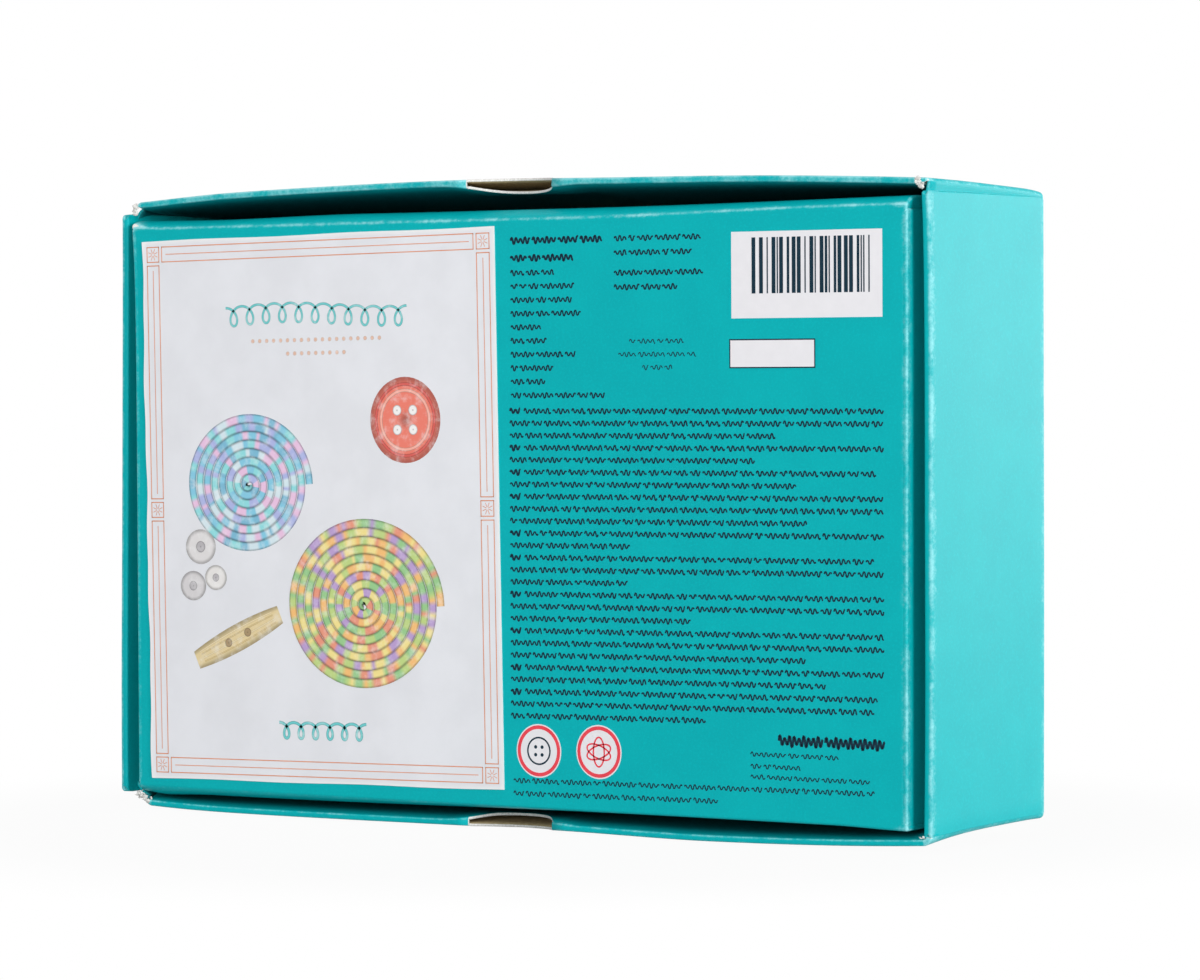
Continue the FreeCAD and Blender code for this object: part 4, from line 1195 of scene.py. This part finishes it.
def label_art(ink, rng):
    """The label's drawing: two coiled cord mats, a button, a wooden toggle, beads and a looped cord."""
    work = Patchwork()
    low, mid = on_label(ink, 0.02), on_label(ink, 0.05)
    # looped cord in place of a heading, and two dotted rows under it
    looped_cord(work, low, -27, 46.5, 54, 11, 2.1, 2.3, 0.62, ink, arch=0.8)
    for row, count in ((40.6, 19), (37.4, 9)):
        for k in range(count):
            disc(work, low, (k - (count - 1) / 2) * 2.1, row, 0.48, tint=tuple(ink.orange))
    coil_mat(work, low, rng, -21, 6, 19.5, 2.3, COOL)
    coil_mat(work, mid, rng, 13, -23, 23.5, 2.3, WARM)
    # button
    x, z = 26, 21
    disc(work, low, x, z, 10.2, tint=(0.88, 0.22, 0.16))
    disc(work, mid, x, z, 8.9, 8.1, tint=(0.70, 0.12, 0.10))
    disc(work, mid, x, z, 7.4, 6.6, tint=(0.96, 0.45, 0.36))
    for dx in (-2.3, 2.3):
        for dz in (-2.3, 2.3):
            disc(work, mid, x + dx, z + dz, 1.25, tint=(0.95, 0.93, 0.92))
    # toggle
    x, z, turn = -25, -31, math.radians(24)
    cos, sin = math.cos(turn), math.sin(turn)
    s = np.linspace(-1, 1, 60)
    stroke(work, low, x + 14 * s * cos, z + 14 * s * sin, 6.6 * (1 - 0.32 * s ** 2), tint=WOOD[0])
    for k, off in enumerate((-1.6, -0.4, 1.0, 2.0)):
        stroke(work, mid, x + 12 * s * cos - off * sin, z + 12 * s * sin + off * cos * (1 - 0.3 * s ** 2), 0.35,
               tint=WOOD[1 + k % 2])
    for side in (-3.2, 3.2):
        disc(work, on_label(ink, 0.07), x + side * cos, z + side * sin, 1.05, tint=(0.42, 0.30, 0.16))
    # beads
    for k, (x, z, r) in enumerate(((-36, -9, 4.6), (-38.5, -18.5, 3.9), (-31.5, -16.5, 3.3))):
        disc(work, on_label(ink, 0.03 + 0.02 * k), x, z, r, tint=CLAY[k], squash=0.92)
        disc(work, on_label(ink, 0.09), x, z, 0.3 * r, tint=(0.50, 0.48, 0.50))
    # short looped cord in place of a name
    looped_cord(work, low, -13, -53.2, 26, 6, 1.7, 1.9, 0.75, ink)
    return work


def label_sheet(ink):
    """The label: a flat sheet whose cut edges are moved a little by sines along them."""
    u, v = np.meshgrid(np.linspace(-1, 1, 81), np.linspace(-1, 1, 97))
    half_w, half_h = ink.label_width / MM / 2, ink.label_height / MM / 2
    waver = 0.16 * np.sin(v * 9 + 0.5) + 0.1 * np.sin(v * 23)
    x = u * half_w + waver * np.clip(-u, 0, 1) ** 8
    z = v * half_h + 0.1 * np.sin(u * 7) * np.abs(v) ** 8
    edge = np.minimum((1 - np.abs(u)) * half_w, (1 - np.abs(v)) * half_h)
    work = Patchwork()
    work.add(on_label(ink, 0.0)(x, z), wear=np.exp(-(edge / 0.5) ** 2))
    return work


# --- contents -----------------------------------------------------------------------------------------------


def leaflet_print(rng):
    """Print on both sides of the leaflet: a heading, text lines and three boxes with loops and rings."""
    work = Patchwork()
    low, high = node_box("instruction_leaflet")
    middle = (low + high) / 2
    for way, level in ((1, high[1]), (-1, low[1])):
        def put(x, z, way=way, level=level):
            x, z = metres(x, z)
            return xyz(middle[0] - way * x, level + way * 0.03 * MM, middle[2] + z)

        look = {"facing": (0, way, 0)}
        text_line(work, put, rng, -80, 52, 52, 3.2, 0.7, 2.0, **look)
        for column, x in enumerate((-80, 6)):
            for row in range(11):
                text_line(work, put, rng, x, 44 - 3.4 * row, 74 if row % 4 < 3 else 45, 1.3, 0.3, **look)
            for step in range(3):
                cx, cz = x + 11 + 27 * step, -22
                for up in (-1, 1):
                    bar(work, put, cx, cz + up * 15, 23, 0.35, **look)
                    bar(work, put, cx + up * 11.5, cz, 30, 0.35, turn=math.pi / 2, **look)
                disc(work, put, cx, cz - 4, 6.5, 6.0, **look)
                t = np.linspace(0, 1, 90)
                turns = 2 * np.pi * (1 + step + column)
                loop_x, loop_z = 14 * t + 1.8 * np.sin(turns * t), 3 * np.cos(turns * t)
                stroke(work, put, cx - 7 + loop_x, cz + 7 + loop_z, 0.5, **look)
    return work


def skein_profile(low, high, s):
    """Radius of a skein at s, from -1 to 1 along it.

    It is the root of one less the 2.6th power of s, and a bell curve pinches it at its waist.
    """
    radius = (high[0] - low[0]) / 2
    barrel = np.clip(1 - np.abs(s) ** 2.6, 0, 1) ** 0.5
    return radius * barrel * (1 - 0.21 * np.exp(-(s / 0.30) ** 2))


def skein(low, high, content, palette, rng):
    """A wound skein: strands side by side over a dark core, painted shade between them; the colour changes along
    the yarn.

    The strands are half turns in two layers, the upper leaning right and the lower left. Their angle is a sum
    of the half turn, its sine and a small third harmonic. They keep to the skein's radius at their height, with
    a small sine in the upper layer.
    """
    centre, half = (low + high) / 2, (high[2] - low[2]) / 2
    r, orbits = content.strand, content.orbits
    work = Patchwork()
    s, a = np.linspace(-1, 1, 40)[:, None], around(48)
    radius = np.maximum(skein_profile(low, high, s * 0.999) - 1.9 * r, 0)
    core = xyz(centre[0] + radius * np.cos(a), centre[1] + radius * np.sin(a), centre[2] + s * (half - 2 * r))
    # Painted shade: the core, seen between the strands, is a dark copy of the yarn's mean colour.
    work.add(core, away=centre, wrap=(False, True), tint=tuple(0.45 * np.mean(palette, axis=0)))
    t = np.linspace(-np.pi / 2, np.pi / 2, 64)
    s = np.sin(t) * 0.955
    for layer, (lean, sink) in enumerate(((1.0, 0.0), (-1.0, 1.5))):
        for k in range(orbits):
            start = 2 * np.pi * (k + 0.37 * layer) / orbits
            turn = start + lean * (0.95 * np.sin(t) + 0.55 * t + 0.05 * np.sin(3 * t + k))
            wobble = 0.25 * r * np.sin(t * 3 + k * 1.7) + 0.12 * r * rng.normal()
            rho = skein_profile(low, high, s) - r * (1.05 + sink) + wobble * (sink == 0)
            rho = np.maximum(rho, 0.2 * r)
            line = xyz(centre[0] + rho * np.cos(turn), centre[1] + rho * np.sin(turn), centre[2] + s * half)
            tint = yarn_tint(rng, line, palette)
            tube(work, line, r * rng.uniform(0.93, 1.05), tint)
    return work


def yarn_tint(rng, line, palette):
    """Colour along a strand: runs of one colour from the palette, of uneven length."""
    marks = np.cumsum(rng.uniform(18, 60, 12)) * MM
    picks = rng.integers(0, len(palette), 13)
    return np.asarray(palette)[picks[np.searchsorted(marks, arc_lengths(line))]]


def tube(work, line, radius, tint, sides=7):
    """A round tube along a line: circles across the tangent, on two normals carried from a fixed direction."""
    tiny = 1e-12
    tangent = np.gradient(line, axis=0)
    tangent /= np.linalg.norm(tangent, axis=1, keepdims=True) + tiny
    out = line - line.mean(axis=0)
    out[:, 2] = 0
    first = np.cross(tangent, out)
    first /= np.linalg.norm(first, axis=1, keepdims=True) + tiny
    second = np.cross(tangent, first)
    a = around(sides)
    ends = np.ones(len(line))
    ends[[0, -1]] = 0.02
    circle = np.cos(a)[:, None] * first[:, None] + np.sin(a)[:, None] * second[:, None]
    along = arc_lengths(line)[:, None] / (2 * np.pi * radius)
    uv = np.stack(np.broadcast_arrays(a / (2 * np.pi), along), axis=-1)
    work.add(line[:, None] + radius * ends[:, None, None] * circle, wrap=(False, True), tint=tint[:, None],
             uv=uv, away=np.repeat((line[:-1] + line[1:]) / 2, sides, axis=0))


def yarn_finish():
    """Spun yarn: the strand's tint with twisted plies along it, painted shade in the grooves between the plies,
    and loose fibres.
    """
    finish = Finish("spun_yarn", 0.95, Specular_IOR_Level=0.15, Sheen_Weight=0.35, Sheen_Roughness=0.5)
    uv = finish.uv()
    phase = finish.plus(finish.times(uv[0], 2.0), finish.times(uv[1], 1.1))
    ply = finish.math("ABSOLUTE", finish.math("SINE", finish.times(phase, math.pi)))
    fibre = finish.noise(2400, 4, 0.7)
    # Painted shade: the tint is darkened in the grooves between the plies.
    painted_shade_between_plies = finish.between(ply, 0.0, 0.55, 0.6, 0)
    base = finish.mix(painted_shade_between_plies, finish.attribute("tint", "Color"), (0.35, 0.33, 0.35), "MULTIPLY")
    base = finish.mix(finish.between(fibre, 0.4, 0.8, 0, 0.3), base, (0.95, 0.95, 0.95), "SCREEN")
    finish.bump(finish.plus(ply, finish.times(fibre, 0.5)), 0.25 * MM, 0.8)
    return finish.done(base)


def cap_paint(content):
    """Satin paint on turned wood, with two rows of round dots: spheres about places on the dome."""
    finish = Finish("cap_paint", 0.32, Specular_IOR_Level=0.5, Coat_Weight=0.25, Coat_Roughness=0.15)
    base = finish.mottled(finish.noise(140, 4), 0.3, 0.7, content.cap, 0.88)
    low, high = node_box("spool_cap")
    middle, reach, tall = (low + high) / 2, (high[0] - low[0]) / 2, high[2] - low[2]
    nearest = 1.0
    for count, out, up, size, first in ((7, 0.93, 0.34, 2.1, 0.2), (5, 0.70, 0.72, 2.7, 0.6)):
        for k in range(count):
            angle = first + 2 * math.pi * k / count
            place = (middle[0] + out * reach * math.cos(angle), middle[1] + out * reach * math.sin(angle),
                     low[2] + up * tall)
            apart = finish.node("ShaderNodeVectorMath", (finish.place, place), operation="DISTANCE")
            nearest = finish.math("MINIMUM", nearest, finish.minus(apart.outputs["Value"], size * MM))
    dotted = finish.mix(finish.between(nearest, -0.05 * MM, 0.05 * MM, 1, 0), base, content.dots)
    finish.bump(finish.noise(420, 4), 0.05 * MM, 0.4)
    return finish.done(dotted)


def peg_wire(content):
    """Drawn steel wire: fine scratches along it."""
    finish = Finish("peg_wire", 0.28, Metallic=1.0)
    scratch = finish.noise(3000, 3, 0.6, finish.stretched((1, 1, 0.08)))
    base = finish.mottled(scratch, 0.35, 0.65, content.wire, 0.8)
    return finish.done(base, finish.between(scratch, 0.3, 0.7, 0.22, 0.38))


def card(content):
    """Uncoated white card with long fibres."""
    finish = Finish("card", 0.85, Specular_IOR_Level=0.25)
    fibre = finish.noise(1300, 5, 0.7)
    finish.bump(fibre, 0.04 * MM, 0.5)
    return finish.done(finish.mottled(fibre, 0.35, 0.7, content.card, 0.93))


def band_paper(content, tone):
    """Kraft paper band with fibres and, near both edges, stitches: a sine of the angle round the skein."""
    finish = Finish(f"band_paper_{tone}", 0.8, Specular_IOR_Level=0.25)
    fibre = finish.noise(1500, 5, 0.7)
    base = finish.mottled(fibre, 0.35, 0.7, content.kraft, 0.86)
    low, high = node_box(f"band_{tone}")
    middle, half = (low + high) / 2, (high[2] - low[2]) / 2
    x, y, z = finish.parts(finish.place)
    angle = finish.math("ARCTAN2", finish.minus(y, middle[1]), finish.minus(x, middle[0]))
    dashes = finish.between(finish.math("SINE", finish.times(angle, 46.0)), -0.3, -0.1)
    row = finish.math("ABSOLUTE", finish.minus(z, middle[2]))
    row = finish.math("ABSOLUTE", finish.minus(row, half - 1.9 * MM))
    stitch = finish.times(dashes, finish.between(row, 0.2 * MM, 0.3 * MM, 1, 0))
    finish.bump(finish.plus(fibre, finish.times(stitch, -2.0)), 0.06 * MM, 0.5)
    return finish.done(finish.mix(stitch, base, content.thread))


# --- operators ----------------------------------------------------------------------------------------------


class KIT_OT_stage(bpy.types.Operator):
    """Camera, lamps, world and floor"""

    bl_idname = "kit.add_stage"
    bl_label = "Stage"

    def execute(self, context):
        stage = context.scene.kit_stage
        add_camera(context, stage)
        add_lamps(context, stage)
        add_floor(context)
        context.scene.view_settings.view_transform = "Standard"
        return {"FINISHED"}


def add_camera(context, stage):
    """Camera whose axes come from yaw to the left, pitch down and roll."""
    data = bpy.data.cameras.new("camera")
    data.lens = stage.lens
    data.sensor_width = 36.0
    data.sensor_fit = "HORIZONTAL"
    data.clip_start, data.clip_end = 0.05, 60.0
    camera = bpy.data.objects.new("camera", data)
    context.scene.collection.objects.link(camera)
    ahead = Vector((-math.sin(stage.yaw), math.cos(stage.yaw), 0))
    right = Vector((math.cos(stage.yaw), math.sin(stage.yaw), 0))
    up = Vector((0, 0, 1))
    look = ahead * math.cos(stage.pitch) - up * math.sin(stage.pitch)
    above = up * math.cos(stage.pitch) + ahead * math.sin(stage.pitch)
    side = right * math.cos(stage.roll) + above * math.sin(stage.roll)
    above = above * math.cos(stage.roll) - right * math.sin(stage.roll)
    turn = Matrix((side, above, -look)).transposed().to_4x4()
    place = Vector(FACE) + Vector((stage.camera_x, stage.camera_y, stage.camera_z))
    camera.matrix_world = Matrix.Translation(place) @ turn
    context.scene.camera = camera


def add_lamps(context, stage):
    """Three large soft lamps and a world that shows white to the camera."""
    middle = Vector((0, 0, 0.075))
    for name, place, size, power in (
            ("key", (2.4, -0.63, 0.55), 0.65, stage.key),
            ("front", (0.35, -1.4, 0.42), 1.0, stage.fill),
            ("sheen", (0.62, 0.95, 0.2), 0.6, stage.sheen)):
        data = bpy.data.lights.new(name, "AREA")
        data.energy = power
        data.size = size
        lamp = bpy.data.objects.new(name, data)
        context.scene.collection.objects.link(lamp)
        lamp.location = place
        lamp.rotation_euler = (middle - Vector(place)).to_track_quat("-Z", "Y").to_euler()
    world = bpy.data.worlds.new("studio")
    context.scene.world = world
    world.use_nodes = True
    nodes = Nodes(world.node_tree)
    strength = nodes.node("ShaderNodeMapRange", (nodes.seen(), 0.0, 1.0, stage.world, 1.0)).outputs[0]
    background = nodes.tree.nodes["Background"]
    background.inputs["Color"].default_value = (1, 1, 1, 1)
    nodes.put(strength, background.inputs["Strength"])


def add_floor(context):
    """Pale floor that keeps the shadow near the object and turns into the white surround further out."""
    work = Patchwork()
    r = np.array([0.0, 0.2, 0.5, 1.5, 6.0])[:, None]
    a = around(64)
    work.add(xyz(r * np.cos(a), r * np.sin(a), 0.0), facing=(0, 0, 1), wrap=(False, True))
    floor = bpy.data.objects.new("floor", work.mesh("floor", weld=WELD))
    context.scene.collection.objects.link(floor)
    finish = Finish("floor_paper", 0.9, Specular_IOR_Level=0.1)
    finish.shader.inputs["Base Color"].default_value = (0.4, 0.4, 0.4, 1)
    finish.bump(finish.noise(600, 3), 0.02 * MM, 0.1)
    away = finish.node("ShaderNodeVectorMath", (finish.place,), operation="LENGTH").outputs["Value"]
    share = finish.times(finish.seen(), finish.between(away, 0.12, 0.2, 0.955, 1.0))
    white = finish.node("ShaderNodeEmission")
    white.inputs["Strength"].default_value = 1.0
    blend = finish.node("ShaderNodeMixShader", (share, finish.shader.outputs[0], white.outputs[0]))
    finish.put(blend.outputs[0], finish.tree.nodes["Material Output"].inputs["Surface"])
    floor.data.materials.append(finish.material)


class KIT_OT_base(bpy.types.Operator):
    """Base carton: folded sheet and end walls"""

    bl_idname = "kit.add_base"
    bl_label = "Base carton"

    def execute(self, context):
        carton = context.scene.kit_carton
        form = base_form(carton)
        finishes, sheet = sheet_finishes(), carton_sheet(form, carton)
        add_piece("base_sheet", sheet, "base", finishes, ["base_carton"], carton.board)
        add_piece("base_end_walls", end_walls(form, carton), "base", finishes[:1])
        return {"FINISHED"}


class KIT_OT_lid(bpy.types.Operator):
    """Lid carton: folded sheet with thumb notches, end walls and torn corners"""

    bl_idname = "kit.add_lid"
    bl_label = "Lid carton"

    def execute(self, context):
        carton = context.scene.kit_carton
        form = lid_form(carton)
        finishes, sheet = sheet_finishes(), carton_sheet(form, carton)
        add_piece("lid_sheet", sheet, "lid", finishes, ["lid_carton"], carton.board)
        add_piece("lid_end_walls", end_walls(form, carton), "lid", finishes[:1])
        fray = corner_fray(form, np.random.default_rng(SEED))
        add_piece("lid_corner_fray", fray, "lid", finishes[2:3], board=0.08 * MM)
        return {"FINISHED"}


class KIT_OT_label(bpy.types.Operator):
    """Paper label with its printed border and drawing"""

    bl_idname = "kit.add_label"
    bl_label = "Label"

    def execute(self, context):
        ink = context.scene.kit_print
        sheet = label_sheet(ink).mesh("label", smooth=False)
        add_piece("label_sheet", sheet, "base", [label_paper(ink)], ["picture_label"], 0.2 * MM)
        orange = ink_film("orange_ink", ink.orange)
        add_print("label_border", label_frame(ink), "base", orange, ink.film, weld=0.0)
        art = label_art(ink, np.random.default_rng(SEED + 1))
        add_print("label_art", art, "base", painted_art("art_ink"), ink.film / 2)
        return {"FINISHED"}


class KIT_OT_face_print(bpy.types.Operator):
    """Text bars, panels and roundels printed on the base's face"""

    bl_idname = "kit.add_face_print"
    bl_label = "Face print"

    def execute(self, context):
        ink = context.scene.kit_print
        rng = np.random.default_rng(SEED + 2)
        dark = ink_film("dark_ink", ink.dark, 0.04)
        white = ink_film("white_ink", ink.white, 0.02)
        red = ink_film("red_ink", ink.red, 0.06)
        paper, bars, rings, lines = (Patchwork() for _ in range(4))
        code_panel(paper, bars, rng)
        roundels(paper, rings, lines)
        for name, work, finish in (
                ("face_text", face_text(ink, rng), dark), ("face_panels", paper, white),
                ("face_code_bars", bars, dark), ("face_rings", rings, red), ("face_marks", lines, dark)):
            add_print(name, work, "base", finish, ink.film)
        return {"FINISHED"}


class KIT_OT_contents(bpy.types.Operator):
    """Insert, leaflet, spool, hook and skeins"""

    bl_idname = "kit.add_contents"
    bl_label = "Contents"

    def execute(self, context):
        content = context.scene.kit_content
        nodes = frame["nodes"]
        stem = turned_wood("limed_wood", content.stem, 900)
        hook = turned_wood("hook_wood", content.hook, 1200)
        for node, finish in (("spool_stem", stem), ("hook_needle", hook), ("spool_cap", cap_paint(content)),
                             ("card_insert", card(content)), ("instruction_leaflet", card(content))):
            nodes[node].material_slots[0].material = finish
        wire = peg_wire(content)
        for name in ("front", "back", "left", "right"):
            nodes[f"peg_{name}"].material_slots[0].material = wire
        yarn = yarn_finish()
        leaflet = leaflet_print(np.random.default_rng(SEED + 4))
        add_print("leaflet_print", leaflet, "leaflet", ink_film("leaflet_ink", content.print),
                  0.02 * MM)
        for tone, palette, seed in (("warm", WARM, 5), ("cool", COOL, 6)):
            work = skein(*node_box(f"skein_{tone}"), content, palette, np.random.default_rng(SEED + seed))
            add_piece(f"yarn_{tone}", work.mesh(f"yarn_{tone}"), f"{tone}_skein", [yarn],
                      [f"skein_{tone}"])
            nodes[f"band_{tone}"].material_slots[0].material = band_paper(content, tone)
        return {"FINISHED"}


def finish_of(name):
    """The carton finish of that name, made once."""
    if name not in bpy.data.materials:
        makers = {"coated_board": coated_board, "uncoated_board": uncoated_board, "cut_board": cut_board,
                  "inner_board": inner_board}
        makers[name](bpy.context.scene.kit_carton)
    return bpy.data.materials[name]


def sheet_finishes():
    """Front, back and cut edge of the board, then of a tab, which is coated all over, and of an inner board with
    painted shade.
    """
    names = ("coated_board", "uncoated_board", "cut_board", "inner_board")
    coated, uncoated, edge, inner = (finish_of(name) for name in names)
    return [coated, uncoated, edge, coated, inner, coated, inner, uncoated, edge]


class KIT_PT_panel(bpy.types.Panel):
    bl_idname = "KIT_PT_panel"
    bl_label = "Cord-maker kit"
    bl_space_type = "VIEW_3D"
    bl_region_type = "UI"
    bl_category = "Kit"

    def draw(self, context):
        for operator in OPERATORS:
            self.layout.operator(operator.bl_idname)


SETTINGS = {"kit_carton": CartonSettings, "kit_print": PrintSettings, "kit_content": ContentSettings,
            "kit_stage": StageSettings}
OPERATORS = [KIT_OT_stage, KIT_OT_base, KIT_OT_lid, KIT_OT_label, KIT_OT_face_print, KIT_OT_contents]


def register():
    for name, settings in SETTINGS.items():
        bpy.utils.register_class(settings)
        setattr(bpy.types.Scene, name, PointerProperty(type=settings))
    for item in [*OPERATORS, KIT_PT_panel]:
        bpy.utils.register_class(item)


def unregister():
    for item in [KIT_PT_panel, *reversed(OPERATORS)]:
        bpy.utils.unregister_class(item)
    for name, settings in SETTINGS.items():
        delattr(bpy.types.Scene, name)
        bpy.utils.unregister_class(settings)


def main():
    register()
    for operator in OPERATORS:
        group, name = operator.bl_idname.split(".")
        getattr(getattr(bpy.ops, group), name)()


if __name__ == "__main__":
    main()
